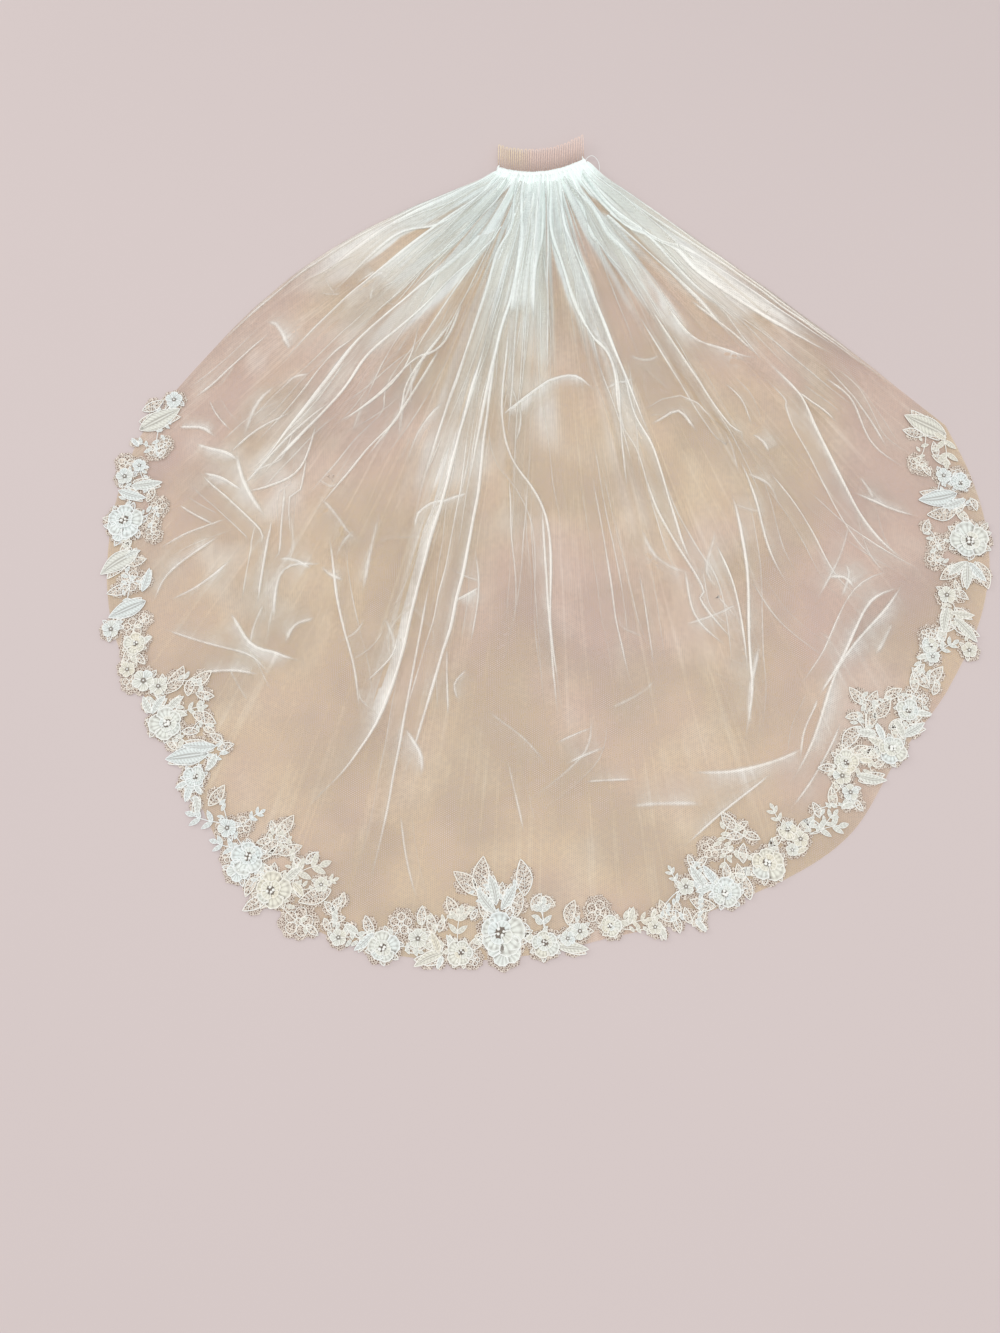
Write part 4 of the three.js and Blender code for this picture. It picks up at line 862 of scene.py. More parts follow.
# %% Bundles of folds
BUNDLES = [
    # left edge, right edge, edge lines, between them, fading from
    ([(0.01, 0.01), (0.26, 0.01), (0.42, 0.02), (0.53, 0.035)],
     [(0.01, 0.06), (0.10, 0.09), (0.17, 0.07), (0.26, 0.035), (0.40, 0.05), (0.50, 0.065)], 1.6, 1.5, 0.45),
    ([(0.01, 0.085), (0.14, 0.07), (0.27, 0.07), (0.40, 0.08), (0.53, 0.085), (0.63, 0.10)],
     [(0.01, 0.18), (0.06, 0.205), (0.12, 0.18), (0.21, 0.145), (0.35, 0.135), (0.44, 0.135)],
     1.9, 1.4, 0.40),
    ([(0.12, 0.22), (0.21, 0.19), (0.30, 0.16), (0.42, 0.15), (0.62, 0.16), (0.69, 0.155)],
     [(0.09, 0.30), (0.19, 0.23), (0.28, 0.20), (0.39, 0.175), (0.49, 0.18), (0.70, 0.165)], 1.9, 0.9, 0.80),
    ([(0.01, 0.25), (0.07, 0.34), (0.12, 0.325), (0.20, 0.34), (0.46, 0.35), (0.56, 0.365)],
     [(0.01, 0.31), (0.06, 0.385), (0.12, 0.41), (0.18, 0.415), (0.26, 0.405), (0.54, 0.41)], 1.8, 0.9, 0.55),
    ([(0.01, 0.31), (0.08, 0.40), (0.16, 0.415), (0.21, 0.42)],
     [(0.01, 0.51), (0.08, 0.505), (0.14, 0.48), (0.21, 0.48)], 1.6, 2.2, 0.84),
    ([(0.01, 0.575), (0.07, 0.545), (0.14, 0.58), (0.23, 0.61), (0.29, 0.65), (0.37, 0.64), (0.47, 0.645)],
     [(0.01, 0.66), (0.07, 0.62), (0.11, 0.635), (0.18, 0.655), (0.31, 0.67), (0.48, 0.68)], 2.1, 1.4, 0.50),
    ([(0.01, 0.70), (0.06, 0.745), (0.11, 0.72), (0.16, 0.755), (0.20, 0.78), (0.24, 0.78)],
     [(0.01, 0.735), (0.06, 0.80), (0.12, 0.795), (0.19, 0.815), (0.25, 0.81)], 1.7, 0.8, 0.55),
    ([(0.02, 0.855), (0.11, 0.865), (0.23, 0.93), (0.31, 0.93), (0.49, 0.95), (0.71, 0.975)],
     [(0.01, 0.90), (0.11, 0.89), (0.31, 0.96), (0.54, 0.98), (0.77, 0.99)], 2.1, 2.2, 0.60),
    ([(0.10, 0.835), (0.20, 0.865), (0.32, 0.88), (0.46, 0.88)],
     [(0.10, 0.855), (0.18, 0.905), (0.27, 0.90), (0.47, 0.905)], 1.6, 0.6, 0.50),
]
EDGE_PLACES = np.array([-2.4, -1.1, 0.0, 1.1, 2.6])
EDGE_PINCH = np.array([0.0, 0.45, 1.0, 0.45, 0.0])
EDGE_BODY = np.array([0.0, 0.10, 0.55, 0.90, 1.0])
INSIDE = np.array([0.2, 0.4, 0.6, 0.8])
NARROWEST, EDGE_STRENGTH, BODY_STRENGTH, ABOVE_CREASES = 7, 1.75, 0.75, 0.25


def bundle_strip(left, right, line, body, fade, dice):
    """The points of a bundle, its layers, and its places across and down."""
    edges = [smooth_path(path) for path in (left, right)]
    share = np.linspace(0, 1, max(len(edge[0]) for edge in edges))
    (left_down, left_across), (right_down, right_across) = [
        [between_knots(share, values) for values in edge[:2]] for edge in edges]
    (lx, ly), (rx, ry) = on_fan(left_across, left_down), on_fan(right_across, right_down)
    unit = 1 / np.maximum(np.hypot(rx - lx, ry - ly), NARROWEST)[:, None]
    near = EDGE_PLACES * unit
    inner = EDGE_PLACES[-1] * unit + INSIDE * (1 - 2 * EDGE_PLACES[-1] * unit)
    place = np.hstack([near, inner, 1 - near[:, ::-1]])
    across = np.clip(left_across[:, None] + (right_across - left_across)[:, None] * place, 0, 1)
    down = np.clip(left_down[:, None] + (right_down - left_down)[:, None] * place, 0.002, 0.998)
    knots = max(5, int(edges[0][2] / 30))
    uneven = [between_knots(share, dice.uniform(0.55, 1.25, knots)) for _ in place[0]]
    inside = np.concatenate([EDGE_BODY, np.ones(len(INSIDE)), EDGE_BODY[::-1]])
    pinch = np.concatenate([EDGE_PINCH, np.zeros(len(INSIDE)), EDGE_PINCH[::-1]])
    ends = (1 - smooth_step(fade, 1, share))[:, None]
    strength = EDGE_STRENGTH * line * pinch + BODY_STRENGTH * body * inside
    layers = ends * np.stack(uneven, axis=1) * strength
    layers[:, [0, -1]] = 0
    x, y = on_fan(across, down)
    ground, _ = net_height(across, down)
    rise = ends * (1.4 * pinch + 0.4 * inside)
    return points_at(x, y, ground + ABOVE_CREASES + rise), layers, points_at(across, down, 0)


print("bundles of folds:", len(BUNDLES))

# %% [markdown]
# Between the folds that can be told apart, fine single creases run out from the gathers, and the
# net is full of small soft wrinkles. Nobody would place them one by one, and an even pattern would
# look printed. So both are strewn by a seeded dice, which falls the same way each time, with more
# wrinkles on the left and low down, where the net lies crumpled.

# %% Fine creases and small wrinkles
FINE_COUNT, WRINKLE_COUNT = 70, 74
DOWN_RUN, ACROSS_RUN, BOW_RUN = 900, 1500, 1200


def either_way(dice, least, most):
    return dice.choice([-1, 1]) * dice.uniform(least, most)


def fine_creases(dice):
    """Rows as in CREASES, close together near the comb and rare in the clear gaps."""
    rows = []
    while len(rows) < FINE_COUNT:
        across, start = dice.uniform(0.03, 0.97), 0.02 + 0.42 * dice.uniform() ** 1.7
        if clear_gap(np.array(across), np.array(start + 0.06)) > dice.uniform(0.05, 0.9):
            continue
        end = min(0.93, start + dice.uniform(0.12, 0.40))
        drift = dice.normal(0, 0.022)
        path = []
        for share in (0, 0.35, 0.7, 1):
            aside = across + drift * share + dice.normal(0, 0.003)
            path.append((start + (end - start) * share, min(0.985, max(0.015, aside))))
        strength, half_width = dice.uniform(0.4, 1.2), dice.uniform(0.6, 0.9)
        rows.append((path, 1.3 * strength, half_width, 0.35 * strength, either_way(dice, 7, 18)))
    return rows


def small_wrinkles(dice):
    """Rows as in CREASES, short and soft, where no lace holds the net."""
    rows = []
    while len(rows) < WRINKLE_COUNT:
        across, down = dice.uniform(0.03, 0.97), dice.uniform(0.30, 0.95)
        on_the_left = math.exp(-(((across - 0.16) / 0.14) ** 2))
        crumpled = 0.35 + 0.65 * on_the_left + 0.35 * smooth_step(0.6, 0.9, down)
        x, y = on_fan(np.array(across), np.array(down))
        if dice.uniform() > crumpled or freedom_to_fold(x, y) < 0.2:
            continue
        length = dice.uniform(36, 120)
        lean = dice.normal(0, 0.7) if dice.uniform() < 0.6 else dice.uniform(-1.6, 1.6)
        half_down = length / DOWN_RUN * math.cos(lean) / 2
        half_across = length / ACROSS_RUN * math.sin(lean) / 2
        bow = dice.normal(0, 0.12) * length / BOW_RUN
        path = [(down - half_down, across - half_across), (down, across + bow),
                (down + half_down, across + half_across)]
        if min(p[0] for p in path) < 0.02 or max(p[0] for p in path) > 0.98:
            continue
        strength, half_width = dice.uniform(0.25, 1.0), dice.uniform(0.8, 2.8)
        rows.append((path, 0.9 * strength, half_width, 0.6 * strength, either_way(dice, 10, 28)))
    return rows


print("fine creases and wrinkles:", FINE_COUNT, WRINKLE_COUNT)

# %% [markdown]
# The ground and all its strips become one mesh, because the real net is one piece of cloth. They
# could be separate objects, joined at the end. Here the points are stacked before the mesh is made,
# which is faster and keeps the values for the finish in the same order. A strip that lies on the
# other hand has its faces turned over, so that every face looks up.

# %% Net mesh
STRIP_SEED = 3


def make_piece(name, points, faces, finishes, finish_of_face=None):
    """A smooth-shaded object from points in millimetres round the middle of the lay."""
    mesh = bpy.data.meshes.new(name)
    mesh.from_pydata(in_frame(points).tolist(), [], faces.tolist() if hasattr(faces, "tolist") else faces)
    for finish in finishes:
        mesh.materials.append(finish)
    if finish_of_face is not None:
        mesh.polygons.foreach_set("material_index", np.asarray(finish_of_face, np.int32))
    mesh.polygons.foreach_set("use_smooth", np.ones(len(mesh.polygons), bool))
    mesh.update()
    piece = bpy.data.objects.new(name, mesh)
    bpy.context.scene.collection.objects.link(piece)
    return piece


def note_on_mesh(piece, name, values, kind="FLOAT"):
    """Stores a value for each point of the mesh, for the finish to read."""
    layer = piece.data.attributes.new(name, kind, "POINT")
    layer.data.foreach_set("value" if kind == "FLOAT" else "vector", np.asarray(values, np.float32).ravel())


def strips_of_net():
    """Each strip's points, layers and places, and which hand its band lies on."""
    dice = np.random.default_rng(STRIP_SEED)
    strips = [(bundle_strip(*row, dice), 1) for row in BUNDLES]
    rows = CREASES + fine_creases(dice) + small_wrinkles(dice)
    return strips + [(crease_strip(*row, dice), row[-1]) for row in rows]


def stacked(parts, width):
    return np.vstack([part.reshape(-1, width) for part in parts])


def lay_the_net():
    """The points and faces of the net, and the four values that its finish reads."""
    sheets = [net_ground()]
    count = sheets[0][1].size
    faces = [grid_faces(*sheets[0][1].shape)]
    for (points, layers, cloth), hand in strips_of_net():
        strip_faces = grid_faces(*layers.shape, first=count)
        faces.append(strip_faces if hand > 0 else strip_faces[:, ::-1])
        white = 0.55 + 0.45 * smooth_step(0.3, 1.4, layers)
        sheets.append([points, layers, white, smooth_step(0.8, 2.0, layers), cloth])
        count += layers.size
    points, *notes = [stacked(parts, width) for parts, width in zip(zip(*sheets), (3, 1, 1, 1, 3))]
    return points, np.vstack(faces), *notes


net_points, net_faces, net_layers, net_white, net_bright, net_cloth = lay_the_net()
print("points of the net:", len(net_points), "with up to", round(float(net_layers.max()), 1), "layers")

# %% [markdown]
# Bridal net is a six-sided mesh of fine thread. Real threads would take many millions of faces, and
# at this distance the net reads as a veil of colour that grows denser where it is tilted or
# doubled. So the finish raises the clear share of one layer to the power of the number of layers,
# and a honeycomb of threads breaks it up when seen close. Thin net takes on a warm tone, with soft
# pink patches, and doubled net turns white: cool near the comb and warmer further down.

# %% Net finish
MESH_PITCH = 0.0019
NET_COVER = 0.46
WARM_NET = (0.74, 0.555, 0.325)
PINK_NET = (0.67, 0.470, 0.355)
# How many fine and how many broad lines lie across the net and down it.
HAIR_LINES, HAZE_LINES = (150.0, 2.6), (22.0, 7.0)
# How finely the white patches, the pink areas, the mottling and the speckle are strewn.
PATCHES, PINK_AREAS, MOTTLING, SPECKLE = 8.0, 4.2, 9.0, 240.0
COOL_WHITE, WARM_WHITE = (0.93, 1.0, 0.975), (1.0, 0.965, 0.90)


def honeycomb(finish, pitch):
    """High in the holes of a six-sided mesh and low on its threads."""
    waves = []
    for turn in (0, 120, 240):
        angle = math.radians(turn)
        direction = finish.put("ShaderNodeVectorMath", operation="DOT_PRODUCT")
        finish.feed(direction.inputs[0], finish.place)
        way = (math.cos(angle) * 2 * math.pi / pitch, math.sin(angle) * 2 * math.pi / pitch, 0)
        finish.feed(direction.inputs[1], way)
        waves.append(finish.worked_out("COSINE", direction.outputs["Value"]))
    return finish.worked_out("ADD", finish.worked_out("ADD", waves[0], waves[1]), waves[2])


def cloth_lines(finish, across, down):
    """Thin uneven lines that run down the net, given by how many lie across it and down it."""
    stretch = finish.put("ShaderNodeVectorMath", operation="MULTIPLY")
    finish.feed(stretch.inputs[0], finish.note("cloth", "Vector"))
    finish.feed(stretch.inputs[1], (across, down, 0))
    lines = finish.put("ShaderNodeTexNoise", Scale=1.0, Detail=4.0, Roughness=0.6, Distortion=0.15,
                       Vector=stretch.outputs["Vector"])
    return lines.outputs["Fac"]


def cloth_part(finish, axis):
    """One part of the cloth note: X is across, Y is down, and Z is the pink rim."""
    parts = finish.put("ShaderNodeSeparateXYZ")
    finish.feed(parts.inputs[0], finish.note("cloth", "Vector"))
    return parts.outputs[axis]


def white_by_depth(finish):
    """Doubled net is a cool white near the comb, a warm one further down, and brightest where pinched."""
    tint = finish.colour_between(finish.spread(cloth_part(finish, "Y"), 0.04, 0.42), COOL_WHITE, WARM_WHITE)
    return finish.scaled(tint, finish.spread(finish.note("bright"), 0, 1, 0.91, 1.04))


def net_cover(finish, more):
    """How much the net hides at a point, from its layers, threads and small unevenness."""
    threads = finish.spread(honeycomb(finish, MESH_PITCH), -1.2, 1.4, 1.3, 0.78)
    speckle = finish.spread(finish.noise(SPECKLE, 2.0), 0.3, 0.7, 0.86, 1.14)
    count = finish.worked_out("ADD", more, 0.72)
    thickness = finish.product(finish.note("layers"), count, threads, speckle)
    clear = finish.worked_out("POWER", 1 - NET_COVER, thickness)
    return finish.worked_out("SUBTRACT", 1.0, clear, clamp=True)


def net_finish():
    finish = Finish("bridal_net")
    hair = finish.spread(cloth_lines(finish, *HAIR_LINES), 0.50, 0.72, 0.0, 0.50)
    haze = finish.spread(cloth_lines(finish, *HAZE_LINES), 0.40, 0.70, 0.0, 0.55)
    patches = finish.spread(finish.noise(PATCHES, 5.0), 0.42, 0.68, 0.0, 0.46)
    more = finish.worked_out("ADD", finish.worked_out("ADD", hair, haze), patches)
    blush = finish.spread(finish.noise(PINK_AREAS), 0.42, 0.68)
    blush = finish.worked_out("ADD", blush, cloth_part(finish, "Z"), clamp=True)
    mottled = finish.spread(finish.noise(MOTTLING, 6.0), 0.38, 0.62, 0.88, 1.09)
    ground = finish.scaled(finish.colour_between(blush, WARM_NET, PINK_NET), mottled)
    whiter = finish.worked_out("ADD", finish.note("white"), finish.product(more, 0.30), clamp=True)
    colour = finish.colour_between(whiter, ground, white_by_depth(finish))
    finish.skin_has(Alpha=net_cover(finish, more), Base_Color=colour, Roughness=0.62)
    finish.skin_has(Sheen_Weight=0.25, Sheen_Roughness=0.4)
    return finish.material


net_veil = make_piece("net_veil", net_points, net_faces, [net_finish()])
note_on_mesh(net_veil, "layers", net_layers)
note_on_mesh(net_veil, "white", net_white)
note_on_mesh(net_veil, "bright", net_bright)
note_on_mesh(net_veil, "cloth", net_cloth, "FLOAT_VECTOR")
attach(net_veil, "root")
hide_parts("net_panel")
net_area = sum(face.area for face in net_veil.data.polygons)
print("net:", len(net_veil.data.polygons) * 2, "triangles,", round(net_area, 3), "square metres")

# %% [markdown]
# Embroidery is thread laid side by side, so it has a grain. Each leaf and petal carries on its mesh
# the run of its stitches, how warm its thread is, and how much painted shade a point takes in the
# grooves between the cords. The finish reads them: it raises the stitches, tints the thread from cool
# white to cream, and paints shade into the grooves, where the real lace lies in shade. Modelled
# stitches would be truer, but too many for a hem of twenty-five motifs.

# %% Lace finishes
# GROOVE_SHADE is painted shade, laid in the grooves, on the petals' shaded sides and in the eyes.
COOL_THREAD, WARM_THREAD, GROOVE_SHADE = (0.92, 0.99, 0.965), (0.97, 0.92, 0.76), (0.19, 0.15, 0.12)
COOL_CORD, WARM_CORD = (0.97, 1.0, 0.99), (1.0, 0.96, 0.86)
# The web's hole colour is painted shade over the doubled net that shows there.
WEB_THREAD, WEB_HOLE_SHADE = (0.86, 0.78, 0.68), (0.30, 0.20, 0.15)
PEARL_TONES = (0.92, 0.92, 0.86), (1.0, 1.0, 0.97)
WARMTH = {"mint": 0.10, "ivory": 0.40, "cream": 0.72}


def thread_colour(finish, light, cool, warm):
    """Thread from cool white to cream, dimmed by the light share, with shade painted into the grooves."""
    tint = finish.colour_between(finish.note("warmth"), cool, warm)
    return finish.colour_between(finish.note("groove"), finish.scaled(tint, light), GROOVE_SHADE)


def embroidery_finish(tone):
    finish = Finish(f"embroidery_{tone}")
    rows = finish.put("ShaderNodeTexWave", wave_type="BANDS", bands_direction="X", Scale=0.42,
                      Distortion=1.2, Detail=1.0, Vector=finish.note("stitch", "Vector"))
    rows_share = finish.product(rows.outputs["Fac"], 0.5)
    mixed = finish.worked_out("ADD", rows_share, finish.product(finish.noise(180.0), 0.6))
    light = finish.spread(mixed, 0.0, 1.0, 0.84, 1.04)
    finish.raise_by(mixed, distance=0.0004, strength=0.5)
    colour = thread_colour(finish, light, COOL_THREAD, WARM_THREAD)
    finish.skin_has(Base_Color=colour, Roughness=0.6, Sheen_Weight=0.3)
    return finish.material


def cord_finish(tone):
    finish = Finish(f"cord_{tone}")
    twist = finish.noise(900.0, 2.0)
    light = finish.spread(twist, 0.2, 0.8, 0.90, 1.0)
    finish.raise_by(twist, distance=0.0003, strength=0.5)
    finish.skin_has(Base_Color=thread_colour(finish, light, COOL_CORD, WARM_CORD), Roughness=0.55)
    return finish.material


def openwork_finish(tone):
    """An irregular web of thread, as inside the corded leaves, its holes dark: partly the net beneath, partly
    painted shade.
    """
    finish = Finish(f"openwork_{tone}")
    cells = finish.put("ShaderNodeTexVoronoi", feature="DISTANCE_TO_EDGE", Scale=480.0, Vector=finish.place)
    from_thread = cells.outputs["Distance"]
    colour = finish.colour_between(finish.spread(from_thread, 0.05, 0.18), WEB_THREAD, WEB_HOLE_SHADE)
    cover = finish.spread(from_thread, 0.06, 0.20, 0.95, 0.58)
    finish.skin_has(Alpha=cover, Base_Color=colour, Roughness=0.7)
    return finish.material


def pearl_finish():
    finish = Finish("pearl")
    colour = finish.colour_between(finish.noise(260.0, 1.0), *PEARL_TONES)
    finish.skin_has(Base_Color=colour, Roughness=0.18, Coat_Weight=0.6)
    return finish.material


PEARL = pearl_finish()
LACE_FINISHES = {
    tone: [embroidery_finish(tone), cord_finish(tone), openwork_finish(tone), PEARL] for tone in WARMTH
}
SATIN, CORD, WEB, BEAD = range(4)
print("lace finishes:", [finish.name for finishes in LACE_FINISHES.values() for finish in finishes[:-1]])

# %% [markdown]
# Each motif is cut from the embroidery as one piece, so all its parts end up in one mesh. They could
# be separate objects, but a motif has some hundred of them. A heap gathers them as they are made:
# every part adds its points, its faces, the finish of those faces, the warmth of its thread and the
# shade painted on it. On the wire comb the warmth is a painted golden glint.

# %% Heap of parts
class Heap:
    def __init__(self):
        self.points, self.faces, self.finish, self.count = [], [], [], 0
        self.stitch, self.groove, self.warmth, self.warm = [], [], [], 0.2

    def add(self, points, faces, finish, stitch=None, groove=0.0):
        """Adds a part; its painted shade is a number or a grid with a value for each point."""
        points = np.asarray(points, float).reshape(-1, 3)
        faces = np.asarray(faces) + self.count
        self.points.append(points)
        self.faces += faces.tolist()
        self.finish += [finish] * len(faces)
        self.stitch.append(points if stitch is None else np.asarray(stitch, float).reshape(-1, 3))
        self.groove.append(np.full(len(points), groove) if np.isscalar(groove) else np.ravel(groove))
        self.warmth.append(np.full(len(points), min(1.0, max(0.0, self.warm))))
        self.count += len(points)

    def close(self, first, count, finish, turned_over=False):
        """Adds one face over a ring of points, which starts so many points before the end."""
        ring = [self.count - first + k for k in range(count)]
        self.faces.append(ring[::-1] if turned_over else ring)
        self.finish.append(finish)

    def piece(self, name, finishes):
        made = make_piece(name, np.vstack(self.points), self.faces, finishes, self.finish)
        note_on_mesh(made, "stitch", np.vstack(self.stitch), "FLOAT_VECTOR")
        note_on_mesh(made, "groove", np.clip(np.concatenate(self.groove), 0, 1))
        note_on_mesh(made, "warmth", np.concatenate(self.warmth))
        return made


# %% [markdown]
# Cord edges every petal and leaf, and it makes the stems too. A Blender curve with a bevel gives such
# a cord, but as an object of its own. Here rings of points are set round the line of the cord, so
# that it can join the heap.

# %% Round cord
def directions(vectors):
    return vectors / (np.linalg.norm(vectors, axis=1, keepdims=True) + 1e-12)


def round_cord(heap, line, radius, finish, closed=False, sides=6, across_to=(0, 0, 1)):
    """A round cord along a line of points."""
    line = np.asarray(line, float)
    if closed:
        forward = directions(np.roll(line, -1, axis=0) - np.roll(line, 1, axis=0))
    else:
        forward = directions(np.gradient(line, axis=0))
    aside = directions(np.cross(forward, np.asarray(across_to, float)))
    up = np.cross(aside, forward)
    turns = np.linspace(0, 2 * np.pi, sides, endpoint=False)
    rings = np.stack([line + radius * (math.cos(t) * aside + math.sin(t) * up) for t in turns], axis=1)
    faces = grid_faces(len(line), sides, round_trip=True)
    if closed:
        last = (len(line) - 1) * sides
        around = np.arange(sides)
        following = (around + 1) % sides
        faces = np.vstack([faces, np.stack([last + around, around, following, last + following], axis=1)])
    heap.add(rings, faces, finish)
    if not closed:
        heap.close(len(line) * sides, sides, finish, turned_over=True)
        heap.close(sides, sides, finish)


# %% [markdown]
# A satin leaf is two padded halves with a thin cord between them, slanting rows of stitches, and a
# bright cord round its edge. An openwork leaf has only the cord, a rib, a web of thread inside and
# slanting bars across it. A leaf could be cut from a flat shape, but a grid that runs from the stalk
# to the tip gives each point its place in the leaf, and the stitches, the crown and the shade painted
# into its grooves are all worked out from that place.

# %% Leaves
LACE_LOW = 1.5
CORD_RADIUS, FINE_CORD = 0.52, 0.26
CORD_LIFT, RIB_LIFT, BAR_LIFT = 0.45, 0.85, 0.5
STITCH_ROW, BAR_SPACING = 3.6, 3.8
LONG_LEAF = 18


def leaf_half_width(share, width):
    return width / 2 * np.sin(np.pi * np.clip(share, 0, 1) ** 0.88) ** 0.9


def turned(x, y, direction, along, aside):
    """The place that lies along a direction from x and y, and aside of it."""
    way_x, way_y = math.cos(math.radians(direction)), math.sin(math.radians(direction))
    return x + along * way_x - aside * way_y, y + along * way_y + aside * way_x


def leaf_point(x, y, direction, length, width, bend, share, aside):
    """A point of a leaf, from its stalk at 0 to its tip at 1, and from one edge at -1 to the other."""
    off = aside * leaf_half_width(share, width) + bend * length * np.sin(np.pi * share)
    return turned(x, y, direction, (share - 0.5) * length, off)


def leaf_cords(heap, leaf, length, low, cord):
    """The cord round the edge of a leaf and the fine one along its rib."""
    count = max(8, int(length / 1.6))
    share = np.concatenate([np.linspace(0, 1, count), np.linspace(1, 0, count)[1:-1]])
    hand = np.concatenate([np.ones(count), -np.ones(count - 2)])
    edge = points_at(*leaf_point(*leaf, share, hand), low + CORD_LIFT)
    round_cord(heap, edge, cord, CORD, closed=True)
    rib = points_at(*leaf_point(*leaf, np.linspace(0.04, 0.88, 7), 0), low + RIB_LIFT)
    round_cord(heap, rib, FINE_CORD, CORD, sides=5)


def satin_leaf(heap, x, y, direction, length, width, low=LACE_LOW, bend=0.0, cord=CORD_RADIUS):
    rows, columns = (26, 13) if length > LONG_LEAF else (13, 9)
    share, aside = np.linspace(0.01, 0.99, rows)[:, None], np.linspace(-1, 1, columns)[None, :]
    edge = np.abs(aside)
    leaf = (x, y, direction, length, width, bend)
    along = (share - 0.5) * length + 0 * aside
    stitches = 0.5 - 0.5 * np.cos(2 * np.pi * (along / STITCH_ROW - 0.30 * edge * width / STITCH_ROW))
    crown = 0.9 * (1 - edge**2.4) - 0.5 * np.exp(-((edge / 0.2) ** 2)) + 0.18 * stitches * (1 - edge**4)
    rise = 0.35 + np.sin(np.pi * share) ** 0.5 * crown
    stitch_run = points_at(along + 0.7 * edge * width / 2, aside * width / 2, 0)
    # Painted shade along the rib, between the rows of stitches, at the edges and at the stalk.
    groove = 0.62 * np.exp(-(((edge - 0.17) / 0.12) ** 2))
    groove = groove + 0.45 * (1 - stitches) ** 2 * smooth_step(0.1, 0.4, edge)
    groove = groove + 0.62 * smooth_step(0.74, 1.0, edge) + 0.4 * (1 - smooth_step(0, 0.14, share))
    points = points_at(*leaf_point(*leaf, share, aside), low + rise)
    heap.add(points, grid_faces(rows, columns)[:, ::-1], SATIN, stitch_run, groove)
    leaf_cords(heap, leaf, length, low, cord)


def openwork_leaf(heap, x, y, direction, length, width, low=LACE_LOW, bend=0.0):
    rows, columns = 9, 5
    share, aside = np.linspace(0, 1, rows)[:, None], np.linspace(-1, 1, columns)[None, :]
    leaf = (x, y, direction, length, width, bend)
    web = points_at(*leaf_point(*leaf, share, aside), low + 0.30)
    heap.add(web, grid_faces(rows, columns)[:, ::-1], WEB)
    leaf_cords(heap, leaf, length, low, 1.1 * CORD_RADIUS)
    for start in np.arange(0.12, 0.84, BAR_SPACING / length):
        for hand in (-1, 1):
            ends = leaf_point(*leaf, np.array([start, start + 0.10]), hand * np.array([0.0, 0.95]))
            round_cord(heap, points_at(*ends, low + BAR_LIFT), 1.2 * FINE_CORD, CORD, sides=4)


# %% [markdown]
# A corded flower is five single petals, each a fan with a scalloped edge and ridges that run out
# from the eye, and each laps over the next. One petal could be modelled by hand and copied, but the
# real ones are all a little different, so a petal is a function of its direction and reach. Its
# grid runs out from the eye, and its rim gets a cord.

# %% Petals
RIDGES, WIDE_PETAL = 4, 9


def petal(heap, x, y, direction, reach, half_angle, low, rise, rings=8, steps=14):
    """One fan-shaped petal that lifts towards its left side, so that it laps over its neighbour."""
    share, side = np.linspace(0.1, 1, rings)[:, None], np.linspace(-1, 1, steps + 1)[None, :]
    ridges = 0.5 + 0.5 * np.cos(np.pi * RIDGES * side)
    edge = 1 - 0.22 * np.abs(side) ** 2.6 + 0.055 * ridges
    angle = math.radians(direction) + math.radians(half_angle) * side * (0.72 + 0.28 * share)
    px, py = x + reach * share * edge * np.cos(angle), y + reach * share * edge * np.sin(angle)
    lap = (1 + side) / 2
    height = low + 0.3 + rise * (0.3 + 0.7 * np.sin(0.5 * np.pi * share))
    height = height + 0.5 * lap * share + 0.25 * ridges * share - 0.35 * np.abs(side) ** 6 * share
    # Painted shade between the ridges, at the eye, on the side that lies under the next petal, and inside the
    # rim.
    groove = 0.60 * (1 - ridges) ** 3 * smooth_step(0.12, 0.4, share) * (1 - 0.45 * share)
    groove = groove + 0.85 * np.exp(-((share - 0.1) / 0.18) ** 2)
    groove = groove + 0.95 * smooth_step(0.74, 0.96, np.abs(side)) * (1 - lap)
    groove = groove + 0.42 * smooth_step(0.78, 0.92, share) * (1 - smooth_step(0.95, 1.0, share))
    stitch_run = points_at(angle * reach, reach * share, 0)
    points = points_at(px, py, height)
    heap.add(points, grid_faces(rings, steps + 1)[:, ::-1], SATIN, stitch_run, groove)
    rim = np.concatenate([points[1:-1, 0], points[-1], points[-2:0:-1, -1]])
    round_cord(heap, rim, 1.15 * CORD_RADIUS if reach > WIDE_PETAL else 0.85 * CORD_RADIUS, CORD)


# %% [markdown]
# Pearls, small discs and rings of cord fill the eyes and the grounds of the flowers. Blender has a
# sphere and a circle for these. They are made here from rows of points, because a disc is a little
# uneven at its edge, as cut embroidery is, and because they join the same heap.

# %% Pearls, discs and rings
def full_circle(count):
    return np.linspace(0, 2 * np.pi, count, endpoint=False)


def pearl(heap, x, y, z, radius, rings=6, sides=10):
    polar = np.linspace(0.12, np.pi - 0.12, rings)[:, None]
    angle = full_circle(sides)[None, :]
    out = radius * np.sin(polar)
    ball = points_at(x + out * np.cos(angle), y + out * np.sin(angle), z + radius * np.cos(polar))
    heap.add(ball, grid_faces(rings, sides, round_trip=True), BEAD)
    heap.close(rings * sides, sides, BEAD)
    heap.close(sides, sides, BEAD, turned_over=True)


def disc(heap, x, y, z, radius, finish, groove=0.0, uneven=0.0, count=20):
    angle = full_circle(count)[None, :]
    share = np.array([0.04, 0.5, 1.0])[:, None]
    reach = radius * share * (1 + uneven * np.sin(3 * angle + x) * np.cos(5 * angle + y))
    points = points_at(x + reach * np.cos(angle), y + reach * np.sin(angle), z + 0.2 * (1 - share))
    heap.add(points, grid_faces(3, count, round_trip=True), finish, groove=groove)
    heap.close(3 * count, count, finish)


